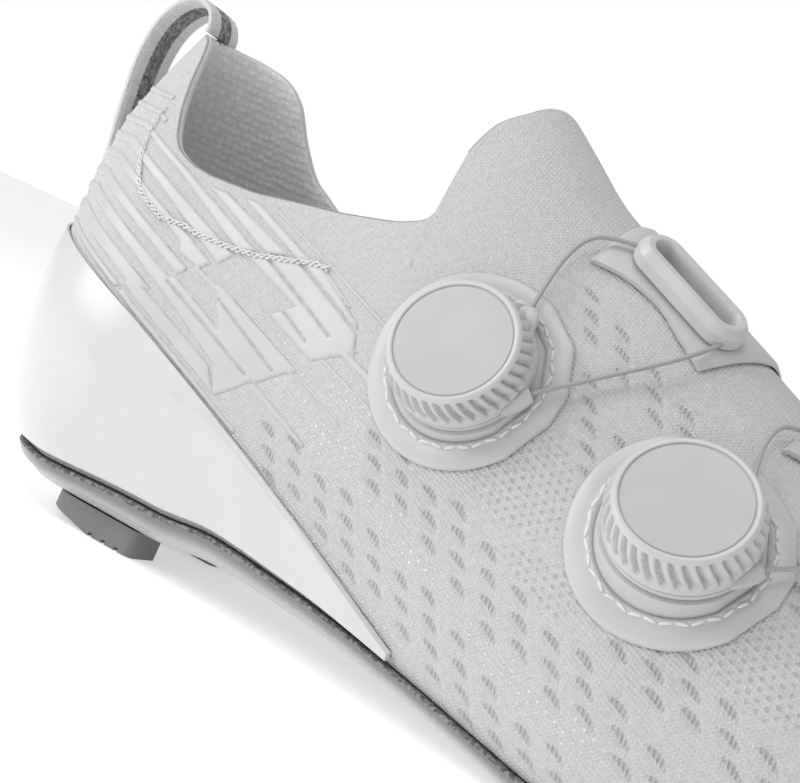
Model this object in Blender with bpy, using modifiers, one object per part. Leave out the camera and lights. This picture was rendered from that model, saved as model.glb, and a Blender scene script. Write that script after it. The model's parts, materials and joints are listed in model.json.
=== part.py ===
"""A right road cycling shoe: sock-like knit upper, stiff sole, heel counter and two lace dials.

The model stands on its heel pads and forefoot. X runs toward the toe, Y toward the inner side of
the foot and Z up. The origin is the middle of the flat spot under the ball, on the floor plane.
"""

import math

import bmesh
import bpy
import numpy as np
from mathutils import Matrix, Vector

MM = 0.001

# Driving sizes of the shoe, in metres. Stations are measured from the back of the heel.
SHOE_LENGTH = 0.280
BALL_WIDTH = 0.096
HEEL_WIDTH = 0.0645
INSTEP_HEIGHT = 0.1225
COLLAR_HEIGHT = 0.081
HEEL_TAB_HEIGHT = 0.1105
HEEL_AXIS = 0.040
TOE_AXIS = 0.200
FLAT_SPOT = 0.183
UPPER_WALL = 0.0022
GAP = 0.0003

# Sole, insole and heel pads
PAD_HEIGHT = 0.006
TOE_SPRING = 0.0145
SOLE_THICKNESS = 0.005
SOLE_LIP = 0.0018
INSOLE_THICKNESS = 0.003
INSOLE_CLEARANCE = 0.0011
PAD_REAR = 0.0355
PAD_LENGTH = 0.0245
PAD_WIDTH = 0.0115
PAD_CORNER = 0.0032
PAD_EDGE_INSET = 0.0035
PAD_GROOVE_PITCH = 0.0036
PAD_GROOVE_WIDTH = 0.0011
PAD_GROOVE_DEPTH = 0.0008
PAD_BEVEL_LENGTH = 0.013
PAD_BEVEL_RISE = 0.0026
PAD_GROOVE_REACH = 2 * PAD_WIDTH

# Heel counter
COUNTER_WALL = 0.0012
COUNTER_LENGTH = 0.127
COUNTER_REAR_HEIGHT = 0.0605
COUNTER_LIFT = 0.0013
COUNTER_BOW = 0.0016
SHEET_GAP = 0.00045

# Lace dials
KNOB_RADIUS = 0.014
KNOB_HEIGHT = 0.0066
KNOB_CHAMFER = 0.0006
KNURL_COUNT = 24
KNURL_DEPTH = 0.0004
CAP_RADIUS = 0.0110
CAP_RECESS = 0.0004
HOUSING_RADIUS = 0.0139
HOUSING_HEIGHT = 0.0028
FLANGE_RADIUS = 0.0202
FLANGE_EDGE = 0.0009
FLANGE_SEAT = 0.0011
SEAT_MARGIN = 0.0008
PORT_LENGTH = 0.0062
PORT_WIDTH = 0.0050
PORT_HEIGHT = 0.0027
PORT_REACH = 0.0032

# Laces, lace guides, straps and pull loop
LACE_RADIUS = 0.0006
LACE_CLEARANCE = 0.00035
GUIDE_LENGTH = 0.0285
GUIDE_WIDTH = 0.0108
GUIDE_HEIGHT = 0.0040
GUIDE_SLOT_WIDTH = 0.0046
GUIDE_BEVEL = 0.0014
STRAP_WALL = 0.0010
LOOP_WIDTH = 0.013
LOOP_THICKNESS = 0.0015
LOOP_DROP = 0.041
LOOP_RISE = 0.0062
LOOP_BULGE = 0.0034

TUCK_SWEEP = math.radians(60)


class Table:
    """A table of rows under named columns, read as smooth curves that never overshoot a row."""

    def __init__(self, columns, *rows):
        self.columns = columns.split()
        self.rows = list(rows)

    def column(self, name):
        """The values of one column."""
        place = self.columns.index(name)
        return [row[place] for row in self.rows]

    def curve(self, name, unit, key_unit=SHOE_LENGTH):
        """A curve of one column against the first, each in the size that its shares follow."""
        keys = np.array(self.column(self.columns[0])) * key_unit
        values = np.array(self.column(name)) * unit
        return Curve(keys, values)


class Curve:
    """A piecewise cubic through given points that keeps each level stretch level."""

    def __init__(self, keys, values):
        self.keys = keys
        self.values = values
        steps = np.diff(keys)
        slopes = np.diff(values) / steps
        inner = np.zeros(len(keys))
        for i in range(1, len(keys) - 1):
            before, after = slopes[i - 1], slopes[i]
            if before * after > 0:
                near = 2 * steps[i] + steps[i - 1]
                far = steps[i] + 2 * steps[i - 1]
                inner[i] = (near + far) / (near / before + far / after)
        inner[0] = slopes[0]
        inner[-1] = slopes[-1]
        self.slopes = inner

    def __call__(self, key):
        if key <= self.keys[0]:
            return float(self.values[0] + self.slopes[0] * (key - self.keys[0]))
        if key >= self.keys[-1]:
            return float(self.values[-1] + self.slopes[-1] * (key - self.keys[-1]))
        i = int(np.searchsorted(self.keys, key) - 1)
        step = self.keys[i + 1] - self.keys[i]
        t = (key - self.keys[i]) / step
        return float(
            self.values[i] * (1 + 2 * t) * (1 - t) ** 2
            + self.slopes[i] * step * t * (1 - t) ** 2
            + self.values[i + 1] * t * t * (3 - 2 * t)
            + self.slopes[i + 1] * step * t * t * (t - 1)
        )


# Cross sections of the upper. Widths are shares of half the local width, and the centre line is
# a share of the ball width. Heights are shares of the instep height.
SECTIONS = Table(
    "station outer inner outer_foot inner_foot centre belly ridge rise_power side_power",
    (0.143, 1.00, 1.00, 0.850, 0.850, 0.000, 0.278, 1.143, 1.50, 1.10),
    (0.250, 0.96, 0.94, 0.835, 0.800, 0.000, 0.290, 1.100, 1.60, 1.45),
    (0.325, 0.93, 0.92, 0.805, 0.760, -0.008, 0.290, 1.035, 1.75, 1.70),
    (0.361, 0.93, 0.93, 0.805, 0.750, -0.010, 0.284, 0.994, 1.75, 1.75),
    (0.386, 0.93, 0.94, 0.810, 0.750, -0.012, 0.276, 0.954, 1.75, 1.75),
    (0.432, 0.94, 0.96, 0.820, 0.760, -0.018, 0.250, 0.880, 1.70, 1.75),
    (0.482, 0.95, 0.97, 0.840, 0.800, -0.023, 0.215, 0.830, 1.65, 1.72),
    (0.539, 0.96, 0.97, 0.865, 0.845, -0.026, 0.184, 0.770, 1.62, 1.68),
    (0.593, 0.98, 0.97, 0.890, 0.880, -0.026, 0.165, 0.712, 1.62, 1.68),
    (0.643, 0.99, 0.98, 0.910, 0.905, -0.018, 0.156, 0.655, 1.70, 1.75),
    (0.714, 1.00, 1.00, 0.930, 0.930, 0.004, 0.155, 0.580, 1.90, 1.90),
    (0.786, 1.00, 1.00, 0.930, 0.930, 0.030, 0.158, 0.510, 1.90, 1.90),
    (0.857, 1.00, 1.00, 0.930, 0.930, 0.054, 0.172, 0.445, 1.90, 1.90),
    (0.929, 1.00, 1.00, 0.930, 0.930, 0.076, 0.204, 0.384, 1.90, 1.90),
    (1.000, 1.00, 1.00, 0.930, 0.930, 0.092, 0.238, 0.327, 1.90, 1.90),
)

# Lower face of the sole as shares of pad height and toe spring, and its rim as a share of thickness
SOLE_ROWS = Table(
    "station arch spring rim",
    (0.000, 1.45, 0.00, 0.60),
    (0.054, 1.30, 0.00, 0.66),
    (0.100, 1.08, 0.00, 0.86),
    (0.121, 1.00, 0.00, 0.94),
    (0.225, 1.00, 0.00, 1.20),
    (0.286, 1.30, 0.00, 1.12),
    (0.364, 1.20, 0.00, 0.98),
    (0.461, 0.85, 0.00, 0.84),
    (0.539, 0.37, 0.00, 0.80),
    (0.593, 0.00, 0.00, 0.90),
    (0.714, 0.00, 0.00, 0.92),
    (0.768, 0.00, 0.06, 0.94),
    (0.839, 0.00, 0.24, 0.96),
    (0.911, 0.00, 0.52, 0.96),
    (1.000, 0.00, 1.00, 0.90),
)

# Side of the sole from its top down: insets as shares of the lip, heights as shares of the rim
SOLE_PROFILE = Table(
    "inset height",
    (1.67, 1.00),
    (-0.78, 1.00),
    (-1.00, 0.86),
    (-0.44, 0.42),
    (0.11, 0.32),
    (1.11, 0.10),
    (2.78, 0.00),
)

# Side of the insole from its top down: insets and heights as shares of its thickness
INSOLE_PROFILE = Table(
    "inset height",
    (0.20, 1.00),
    (0.00, 0.73),
    (0.00, 0.00),
)

# Back of the upper in profile: heights and stations as shares of the heel tab height
HEEL_BACK = Table(
    "height station squareness",
    (0.090, 0.145, 2.05),
    (0.140, 0.108, 2.10),
    (0.200, 0.077, 2.15),
    (0.260, 0.054, 2.15),
    (0.340, 0.037, 2.20),
    (0.430, 0.024, 2.20),
    (0.540, 0.013, 2.25),
    (0.660, 0.006, 2.30),
    (0.760, 0.010, 2.40),
    (0.870, 0.041, 2.50),
    (0.980, 0.081, 2.60),
    (1.030, 0.098, 2.60),
)

# Ribs of the upper behind the heel axis: turn about it in degrees, and collar heights as shares
HEEL_RIBS = Table(
    "turn outer_top inner_top",
    (90, 0.998, 1.000),
    (75, 0.996, 1.002),
    (61, 0.992, 1.003),
    (48, 0.978, 1.003),
    (38, 0.940, 1.000),
    (30, 0.880, 0.996),
    (22, 0.810, 0.985),
    (14, 0.750, 0.955),
    (7, 0.730, 0.885),
)

# Ribs beside the ankle and along the front tab: foot station, and the station and height of each
# collar point as shares of the shoe length and the collar height
COLLAR_RIBS = Table(
    "foot outer_station outer_top inner_station inner_top",
    (0.143, 0.143, 0.985, 0.146, 1.105),
    (0.179, 0.179, 0.988, 0.181, 1.050),
    (0.221, 0.221, 1.008, 0.221, 1.055),
    (0.264, 0.264, 1.030, 0.264, 1.080),
    (0.304, 0.305, 1.065, 0.304, 1.110),
    (0.336, 0.332, 1.125, 0.330, 1.160),
    (0.364, 0.327, 1.205, 0.326, 1.230),
    (0.386, 0.320, 1.310, 0.320, 1.320),
    (0.407, 0.327, 1.395, 0.327, 1.400),
    (0.427, 0.339, 1.475, 0.339, 1.475),
)

# Ribs that meet their opposite on the instep ridge: foot station and ridge station
RIDGE_RIBS = Table(
    "foot top",
    (0.446, 0.355),
    (0.468, 0.388),
    (0.496, 0.428),
    (0.529, 0.475),
    (0.564, 0.525),
    (0.604, 0.578),
    (0.643, 0.629),
    (0.679, 0.673),
    (0.714, 0.714),
)
TOE_TURNS = (14, 28, 42, 56, 68, 79, 90)
COUNTER_STEPS = 9
COUNTER_SHARES = (0.0, 0.14, 0.30, 0.48, 0.66, 0.84, 1.0)
TUCK_LEVELS = (-1.0, -0.68, -0.36, 0.0)
RISE_SHARES = (0.13, 0.28, 0.43, 0.58, 0.72, 0.86, 1.0)

# Straps over the instep: how far across from the ridge, outer side first, and the rear and front
# edges measured from the middle of the guide as shares of its length
STRAP_EDGES = Table(
    "across rear front",
    (-0.34, -0.64, 0.36),
    (-0.25, -0.61, 0.48),
    (-0.07, -0.58, 0.64),
    (0.10, -0.56, 0.70),
    (0.40, -0.50, 0.66),
    (1.00, -0.36, 0.52),
    (1.50, -0.26, 0.52),
    (1.92, -0.24, 0.54),
)

# Outer edge of a strap, hollowed for the raised knit beside it: share of the way from rear to front
STRAP_SIDE = Table(
    "along across",
    (0.00, -0.345),
    (0.25, -0.305),
    (0.50, -0.290),
    (0.75, -0.310),
    (1.00, -0.330),
)
STRAP_STEP = 0.07

# Rings of a dial's flange from its middle out: radius as a share of the flange's own, and height
# over the upper as a share of the edge's thickness, where nought lies on the dial's flat seat
FLANGE_RINGS = Table(
    "radius lift",
    (0.360, 0.00),
    (0.735, 0.00),
    (0.860, 1.50),
    (0.965, 1.00),
    (1.000, 0.55),
)

# Lace dials: places on the outer side as shares of shoe length and instep height, and upward tilt
DIALS = Table(
    "name station height tilt",
    ("upper", 0.413, 0.532, 3.0),
    ("lower", 0.595, 0.440, 7.0),
)

# Lace guides: places along the shoe, and how long and how far over the outer side their straps go
GUIDES = Table(
    "name station strap reach",
    ("upper", 0.5064, 1.00, 1.00),
    ("lower", 0.6680, 0.80, 0.90),
)

# Ports of each dial on its own plane, from its axis, as shares of the knob's radius
PORTS = Table(
    "way along up",
    ("out", 0.460, 0.830),
    ("back", 0.921, -0.214),
)

# Points of each lace between dial and guide: station, level, and height over the upper in laces
LACE_WAYS = Table(
    "lace way station level lift",
    ("upper", "out", 0.4290, 0.60, 2.2),
    ("upper", "out", 0.4370, 0.70, 2.2),
    ("upper", "back", 0.5320, 0.63, 3.0),
    ("upper", "back", 0.4980, 0.49, 2.0),
    ("lower", "out", 0.6060, 0.64, 2.2),
    ("lower", "out", 0.6080, 0.72, 2.2),
    ("lower", "back", 0.7000, 0.64, 3.0),
    ("lower", "back", 0.6821, 0.53, 2.0),
)

# Pull loop from the foot of its rear run, over the tab, to the rim: share of the way forward, and
# shares of the drop, the rise and the bulge
LOOP_PATH = Table(
    "over drop rise bulge",
    (0.00, 1.00, 0.00, 0.00),
    (0.00, 0.85, 0.00, 0.03),
    (0.00, 0.68, 0.00, 0.41),
    (0.00, 0.50, 0.00, 0.76),
    (0.00, 0.33, 0.00, 1.00),
    (0.00, 0.16, 0.00, 0.97),
    (0.00, 0.01, 0.00, 0.53),
    (0.13, 0.00, 0.68, 0.00),
    (0.52, 0.00, 1.00, 0.00),
    (0.84, 0.00, 0.81, 0.00),
    (1.00, 0.00, 0.35, 0.00),
    (1.02, 0.00, 0.00, 0.00),
)


def power(value, exponent):
    """A power of a value that round-off may leave just under nought."""
    return max(value, 0.0) ** exponent


class Last:
    """The outer surface of the upper, from which every piece that follows it is worked out."""

    def __init__(self):
        names = ("outer", "inner", "outer_foot", "inner_foot")
        self.share = {name: SECTIONS.curve(name, 1.0) for name in names}
        self.centre = SECTIONS.curve("centre", BALL_WIDTH)
        self.belly = SECTIONS.curve("belly", INSTEP_HEIGHT)
        self.ridge = SECTIONS.curve("ridge", INSTEP_HEIGHT)
        self.rise_power = SECTIONS.curve("rise_power", 1.0)
        self.side_power = SECTIONS.curve("side_power", 1.0)
        self.heel_back = HEEL_BACK.curve("station", HEEL_TAB_HEIGHT, HEEL_TAB_HEIGHT)
        self.heel_square = HEEL_BACK.curve("squareness", 1.0, HEEL_TAB_HEIGHT)
        self.arch = SOLE_ROWS.curve("arch", PAD_HEIGHT)
        self.spring = SOLE_ROWS.curve("spring", TOE_SPRING)
        self.rim = SOLE_ROWS.curve("rim", SOLE_THICKNESS)
        self.toe_length = SHOE_LENGTH - TOE_AXIS

    def sole_bottom(self, x):
        """Height of the sole's lower face at a station."""
        return self.arch(x) + self.spring(x)

    def sole_top(self, x):
        """Height of the sole's upper face at a station."""
        return self.sole_bottom(x) + self.rim(x)

    def foot(self, x):
        """Height of the upper's lower edge at a station."""
        return self.sole_top(x) + GAP

    def half_width(self, side, x, low=False):
        """Half width at the belly, or at the lower edge, on the outer (-1) or inner (1) side."""
        blend = min(max((x - HEEL_AXIS) / (TOE_AXIS - HEEL_AXIS), 0.0), 1.0)
        blend = blend * blend * (3 - 2 * blend)
        width = HEEL_WIDTH + (BALL_WIDTH - HEEL_WIDTH) * blend
        name = ("inner" if side > 0 else "outer") + ("_foot" if low else "")
        return self.share[name](x) * width / 2

    def half_at(self, side, x, level):
        """Half width of the section at a level: -1 is the lower edge, 0 the belly, 1 the ridge."""
        wide = self.half_width(side, x)
        if level < 0:
            low = self.half_width(side, x, low=True)
            drop = (1 - math.cos(-level * TUCK_SWEEP)) / (1 - math.cos(TUCK_SWEEP))
            return wide + (low - wide) * drop
        return wide * power(math.cos(level * math.pi / 2), 2 / self.side_power(x))

    def height_at(self, x, level):
        """Height of the section at a level."""
        belly = self.belly(x)
        if level < 0:
            share = math.sin(-level * TUCK_SWEEP) / math.sin(TUCK_SWEEP)
            return belly - (belly - self.foot(x)) * share
        rise = power(math.sin(level * math.pi / 2), 2 / self.rise_power(x))
        return belly + (self.ridge(x) - belly) * rise

    def level_of(self, x, height):
        """The level above the belly whose height is given."""
        belly = self.belly(x)
        share = min(max((height - belly) / (self.ridge(x) - belly), 0.0), 1.0)
        return math.asin(power(share, self.rise_power(x) / 2)) * 2 / math.pi

    def point(self, side, run, level):
        """A point of the surface: run -1 to 0 is round the heel, 0 to 1 along, 1 to 2 round the toe."""
        if run < 0:
            turn = -run * math.pi / 2
            height = self.height_at(HEEL_AXIS, level)
            bend = 2 / self.heel_square(height)
            reach = HEEL_AXIS - self.heel_back(height)
            x = HEEL_AXIS - reach * power(math.sin(turn), bend)
            half = self.half_at(side, HEEL_AXIS, level) * power(math.cos(turn), bend)
            y = self.centre(HEEL_AXIS) + side * half
            return Vector((x, y, height + self.heel_drop(x, level)))
        if run <= 1:
            x = HEEL_AXIS + run * (TOE_AXIS - HEEL_AXIS)
            half = self.half_at(side, x, level)
            return Vector((x, self.centre(x) + side * half, self.height_at(x, level)))
        turn = (run - 1) * math.pi / 2
        half = self.half_at(side, TOE_AXIS, level)
        share = half / self.half_width(side, TOE_AXIS)
        x = TOE_AXIS + self.toe_length * share * math.sin(turn)
        y = self.centre(x) + side * half * math.cos(turn)
        return Vector((x, y, self.height_at(x, level)))

    def heel_drop(self, x, level):
        """How far the lower edge leaves the section at the heel axis to follow the sole's rim."""
        if level >= 0:
            return 0.0
        share = math.sin(-level * TUCK_SWEEP) / math.sin(TUCK_SWEEP)
        return (self.foot(x) - self.foot(HEEL_AXIS)) * share

    def run_of(self, x):
        """The run of a station between the heel axis and the toe axis."""
        return (x - HEEL_AXIS) / (TOE_AXIS - HEEL_AXIS)

    def normal(self, side, run, level):
        """The outward normal of the surface."""
        step = 0.01
        if run > 1 and level > 0.98:
            run = 1.0
        along = self.point(side, run + step, level) - self.point(side, run - step, level)
        if level > 1 - 2 * step:
            up = self.point(-side, run, 1 - 2 * step) - self.point(side, run, 1 - 2 * step)
        else:
            up = self.point(side, run, level + step) - self.point(side, run, level - step)
        return (along.cross(up) * -side).normalized()

    def offset(self, side, run, level, distance):
        """A point above the surface by a distance."""
        return self.point(side, run, level) + self.normal(side, run, level) * distance

    def outer_y(self, x, z):
        """The outer side's Y at a station and height between the belly and the ridge."""
        return self.point(-1, self.run_of(x), self.level_of(x, z)).y


LAST = Last()


def material(name, colour, roughness, metallic=0.0):
    """A Principled material of one colour."""
    made = bpy.data.materials.new(name)
    made.use_nodes = True
    shader = made.node_tree.nodes["Principled BSDF"]
    shader.inputs["Base Color"].default_value = (*colour, 1.0)
    shader.inputs["Roughness"].default_value = roughness
    shader.inputs["Metallic"].default_value = metallic
    return made


def collection(name):
    """A new collection in the scene."""
    made = bpy.data.collections.new(name)
    bpy.context.scene.collection.children.link(made)
    return made


class Workshop:
    """Where objects are made: the collections, the datum empty and the materials."""

    def __init__(self):
        for old in list(bpy.data.objects):
            bpy.data.objects.remove(old, do_unlink=True)
        self.parts = collection("cycling_shoe")
        self.cutters = collection("cutters")
        self.datum = bpy.data.objects.new("heel_datum", None)
        self.datum.location = (-FLAT_SPOT, 0, 0)
        self.parts.objects.link(self.datum)
        self.knit = material("white_knit", (0.80, 0.80, 0.81), 0.85)
        self.shell = material("white_gloss_shell", (0.86, 0.86, 0.87), 0.18)
        self.plate = material("silver_grey_plate", (0.55, 0.56, 0.57), 0.22)
        self.rubber = material("grey_rubber", (0.16, 0.16, 0.165), 0.7)
        self.foam = material("light_grey_foam", (0.62, 0.63, 0.64), 0.9)
        self.film = material("white_satin_film", (0.74, 0.74, 0.75), 0.4)
        self.dial = material("white_dial_plastic", (0.76, 0.76, 0.77), 0.35)
        self.cord = material("grey_lace", (0.50, 0.50, 0.51), 0.45)
        self.tape = material("white_tape", (0.78, 0.78, 0.79), 0.8)

    def add(self, name, mesh, paint, smooth_angle=40):
        """Links a mesh as a part under the datum."""
        made = bpy.data.objects.new(name, mesh)
        made.parent = self.datum
        mesh.materials.clear()
        mesh.materials.append(paint)
        mesh.shade_smooth()
        mesh.set_sharp_from_angle(angle=math.radians(smooth_angle))
        self.parts.objects.link(made)
        return made

    def cutter(self, name, mesh):
        """Links a mesh as a cutter under the datum."""
        made = bpy.data.objects.new(name, mesh)
        made.parent = self.datum
        made.hide_render = True
        made.display_type = "WIRE"
        self.cutters.objects.link(made)
        return made


def mesh_of(name, build, inside=None, weld=1e-6):
    """A welded mesh filled by a function that takes a bmesh. A sheet's faces look away from a point."""
    body = bmesh.new()
    build(body)
    bmesh.ops.remove_doubles(body, verts=body.verts, dist=weld)
    bmesh.ops.dissolve_degenerate(body, edges=body.edges, dist=weld)
    bmesh.ops.recalc_face_normals(body, faces=body.faces)
    if inside:
        outward = sum(face.normal.dot(face.calc_center_median() - inside) for face in body.faces)
        if outward < 0:
            bmesh.ops.reverse_faces(body, faces=body.faces)
    made = bpy.data.meshes.new(name)
    body.to_mesh(made)
    body.free()
    return made


def skin_rows(body, rows, closed=False):
    """Quads between rows of points, each row as long as the last."""
    made = [[body.verts.new(p) for p in row] for row in rows]
    last = len(made[0]) if closed else len(made[0]) - 1
    for low, high in zip(made, made[1:]):
        for i in range(last):
            j = (i + 1) % len(low)
            corners = [low[i], low[j], high[j], high[i]]
            spots = {tuple(round(c / MM, 4) for c in v.co) for v in corners}
            if len(spots) >= 3:
                body.faces.new(corners)
    return made


def boolean(target, tool, operation="DIFFERENCE"):
    """Cuts a part with a cutter, or joins it to one."""
    cut = target.modifiers.new(tool.name, "BOOLEAN")
    cut.operation = operation
    cut.object = tool
    cut.solver = "EXACT"
    return cut


def ring_runs():
    """Runs of the ring positions shared by sole, insole and counter, heel to toe."""
    heel = [-turn / 90 for turn in HEEL_RIBS.column("turn")]
    middle = [foot * SHOE_LENGTH for foot in COLLAR_RIBS.column("foot") + RIDGE_RIBS.column("foot")]
    toe = [1 + turn / 90 for turn in TOE_TURNS]
    return heel + [LAST.run_of(x) for x in middle] + toe


def upper_rib(side, foot_run, top_run, top_level, depth):
    """Points of one rib of the upper, from its lower edge to its top, at a depth in the wall."""
    points = []
    levels = list(TUCK_LEVELS) + [share * top_level for share in RISE_SHARES]
    for level in levels:
        lean = (level + 1) / (top_level + 1)
        run = foot_run + (top_run - foot_run) * lean
        points.append(LAST.offset(side, run, level, -depth))
    return points


def rib_places(side):
    """Foot run, top run and top level of each rib of one side, heel to toe."""
    word = "inner" if side > 0 else "outer"
    places = []
    for turn, share in zip(HEEL_RIBS.column("turn"), HEEL_RIBS.column(word + "_top")):
        places.append((-turn / 90, -turn / 90, LAST.level_of(HEEL_AXIS, share * HEEL_TAB_HEIGHT)))
    columns = (COLLAR_RIBS.column(c) for c in ("foot", word + "_station", word + "_top"))
    for foot, station, top in zip(*columns):
        x = station * SHOE_LENGTH
        level = LAST.level_of(x, top * COLLAR_HEIGHT)
        places.append((LAST.run_of(foot * SHOE_LENGTH), LAST.run_of(x), level))
    for foot, top in RIDGE_RIBS.rows:
        places.append((LAST.run_of(foot * SHOE_LENGTH), LAST.run_of(top * SHOE_LENGTH), 1.0))
    for turn in TOE_TURNS:
        places.append((1 + turn / 90, 1 + turn / 90, 1.0))
    return places


def upper_ring(depth):
    """Rows of points round the whole upper at a depth in its wall, from the foot line up."""
    outer = [upper_rib(-1, *place, depth) for place in rib_places(-1)]
    inner = [upper_rib(1, *place, depth) for place in rib_places(1)]
    return list(zip(*(outer + inner[::-1][1:-1])))


def build_upper(shop):
    """The knit upper: one wall, open at the collar and underneath."""
    collar_ribs = len(HEEL_RIBS.rows) + len(COLLAR_RIBS.rows)

    def fill(body):
        outside = skin_rows(body, upper_ring(0.0), closed=True)
        inside = skin_rows(body, upper_ring(UPPER_WALL), closed=True)
        around = len(outside[0])
        for i in range(around):
            j = (i + 1) % around
            body.faces.new([outside[0][i], outside[0][j], inside[0][j], inside[0][i]])
            if i < collar_ribs or i >= around - collar_ribs:
                body.faces.new([outside[-1][i], outside[-1][j], inside[-1][j], inside[-1][i]])

    return shop.add("upper", mesh_of("upper", fill), shop.knit, 60)


def outline_point(side, run, inset, height):
    """A point inside the upper's foot line by an inset, round the heel and toe too."""
    base = LAST.point(side, run, -1)
    centre = LAST.centre(HEEL_AXIS)
    if run < 0:
        half = LAST.half_width(side, HEEL_AXIS, low=True)
        reach = HEEL_AXIS - LAST.heel_back(LAST.foot(HEEL_AXIS))
        bend = 2 / LAST.heel_square(LAST.foot(HEEL_AXIS))
        turn = -run * math.pi / 2
        x = HEEL_AXIS - (reach - inset) * power(math.sin(turn), bend)
        return Vector((x, centre + side * (half - inset) * power(math.cos(turn), bend), height(x)))
    if run <= 1:
        half = abs(base.y - LAST.centre(base.x)) - inset
        return Vector((base.x, LAST.centre(base.x) + side * half, height(base.x)))
    turn = (run - 1) * math.pi / 2
    half = LAST.half_width(side, TOE_AXIS, low=True)
    reach = LAST.toe_length * half / LAST.half_width(side, TOE_AXIS)
    x = TOE_AXIS + (reach - inset) * math.sin(turn)
    y = LAST.centre(x) + side * (half - inset) * math.cos(turn)
    return Vector((x, y, height(x)))


def slab(body, profile):
    """A closed plate whose side follows a profile of insets and heights, from top to bottom."""
    runs = ring_runs()
    faces = []
    for side in (-1, 1):
        rows = []
        for inset, height in profile:
            rows.append([outline_point(side, run, inset, height) for run in runs])
        skin_rows(body, rows)
        faces.append(rows)
    outer, inner = faces
    skin_rows(body, [outer[0], inner[0]])
    skin_rows(body, [outer[-1], inner[-1]])


def build_sole(shop):
    """The stiff sole plate with its lip, slanted edge band, step and flat forefoot."""

    def part_way(share):
        return lambda x: LAST.sole_bottom(x) + (LAST.sole_top(x) - LAST.sole_bottom(x)) * share

    profile = [(inset * SOLE_LIP, part_way(height)) for inset, height in SOLE_PROFILE.rows]
    return shop.add("sole", mesh_of("sole", lambda body: slab(body, profile)), shop.plate, 35)


def build_insole(shop):
    """The insole, inside the upper's wall and on the sole."""
    edge = UPPER_WALL + INSOLE_CLEARANCE

    def raised(share):
        return lambda x: LAST.foot(x) + INSOLE_THICKNESS * share

    profile = [(edge + inset * INSOLE_THICKNESS, raised(height)) for inset, height in INSOLE_PROFILE.rows]
    return shop.add("insole", mesh_of("insole", lambda body: slab(body, profile)), shop.foam, 35)


def counter_top(x):
    """Height of the counter's upper edge, which sweeps down to a point on the sole."""
    share = min(max(x / COUNTER_LENGTH, 0.0), 1.0)
    tip = LAST.foot(COUNTER_LENGTH) + 2 * COUNTER_LIFT
    bow = COUNTER_BOW * math.sin(math.pi * share)
    return COUNTER_REAR_HEIGHT + (tip - COUNTER_REAR_HEIGHT) * share + bow


def side_level(x, height):
    """The level of a height, above or below the belly, at a station."""
    low, high = -1.0, 1.0
    for _ in range(40):
        middle = (low + high) / 2
        if LAST.height_at(x, middle) < height:
            low = middle
        else:
            high = middle
    return (low + high) / 2


def counter_runs():
    """Runs of the counter's ribs, from the back of the heel to its point."""
    heel = [-turn / 90 for turn in HEEL_RIBS.column("turn")]
    front = np.linspace(HEEL_AXIS, COUNTER_LENGTH, COUNTER_STEPS + 1)
    return heel + [LAST.run_of(float(x)) for x in front]


def build_counter(shop):
    """The glossy heel counter, a shell just outside the upper."""

    def rib(side, run):
        station = LAST.point(side, run, 0).x
        x = max(station, HEEL_AXIS)
        bottom = side_level(x, LAST.height_at(x, -1) + COUNTER_LIFT)
        top = side_level(x, counter_top(station))
        points = []
        for share in COUNTER_SHARES:
            points.append(LAST.offset(side, run, bottom + (top - bottom) * share, SHEET_GAP))
        return points

    def fill(body):
        outer = [rib(-1, run) for run in counter_runs()]
        inner = [rib(1, run) for run in counter_runs()]
        skin_rows(body, outer[::-1] + inner[1:])

    mesh = mesh_of("heel_counter", fill, Vector((HEEL_AXIS, 0, COUNTER_REAR_HEIGHT / 2)))
    part = shop.add("heel_counter", mesh, shop.shell, 50)
    wall = part.modifiers.new("wall", "SOLIDIFY")
    wall.thickness = COUNTER_WALL
    wall.offset = 1
    wall.use_even_offset = True
    return part


def pad_outline(side):
    """Plan of a heel pad, rounded at its rear outer corner more than elsewhere."""
    edge = LAST.half_width(side, PAD_REAR + PAD_LENGTH / 2, low=True) - PAD_EDGE_INSET
    points = []
    corners = (
        (PAD_REAR + PAD_LENGTH, edge, PAD_CORNER * 0.6),
        (PAD_REAR + PAD_LENGTH, edge - PAD_WIDTH, PAD_CORNER * 0.6),
        (PAD_REAR, edge - PAD_WIDTH, PAD_CORNER * 0.6),
        (PAD_REAR, edge, PAD_CORNER * 1.8),
    )
    spans = (90, 0, -90, -180)
    for (x, y, radius), start in zip(corners, spans):
        inward_x = -1 if x > PAD_REAR else 1
        inward_y = -1 if y == edge else 1
        for step in range(5):
            angle = math.radians(start - 22.5 * step)
            points.append(
                (
                    x + inward_x * radius + radius * math.cos(angle),
                    side * (y + inward_y * radius + radius * math.sin(angle)),
                )
            )
    return points


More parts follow.
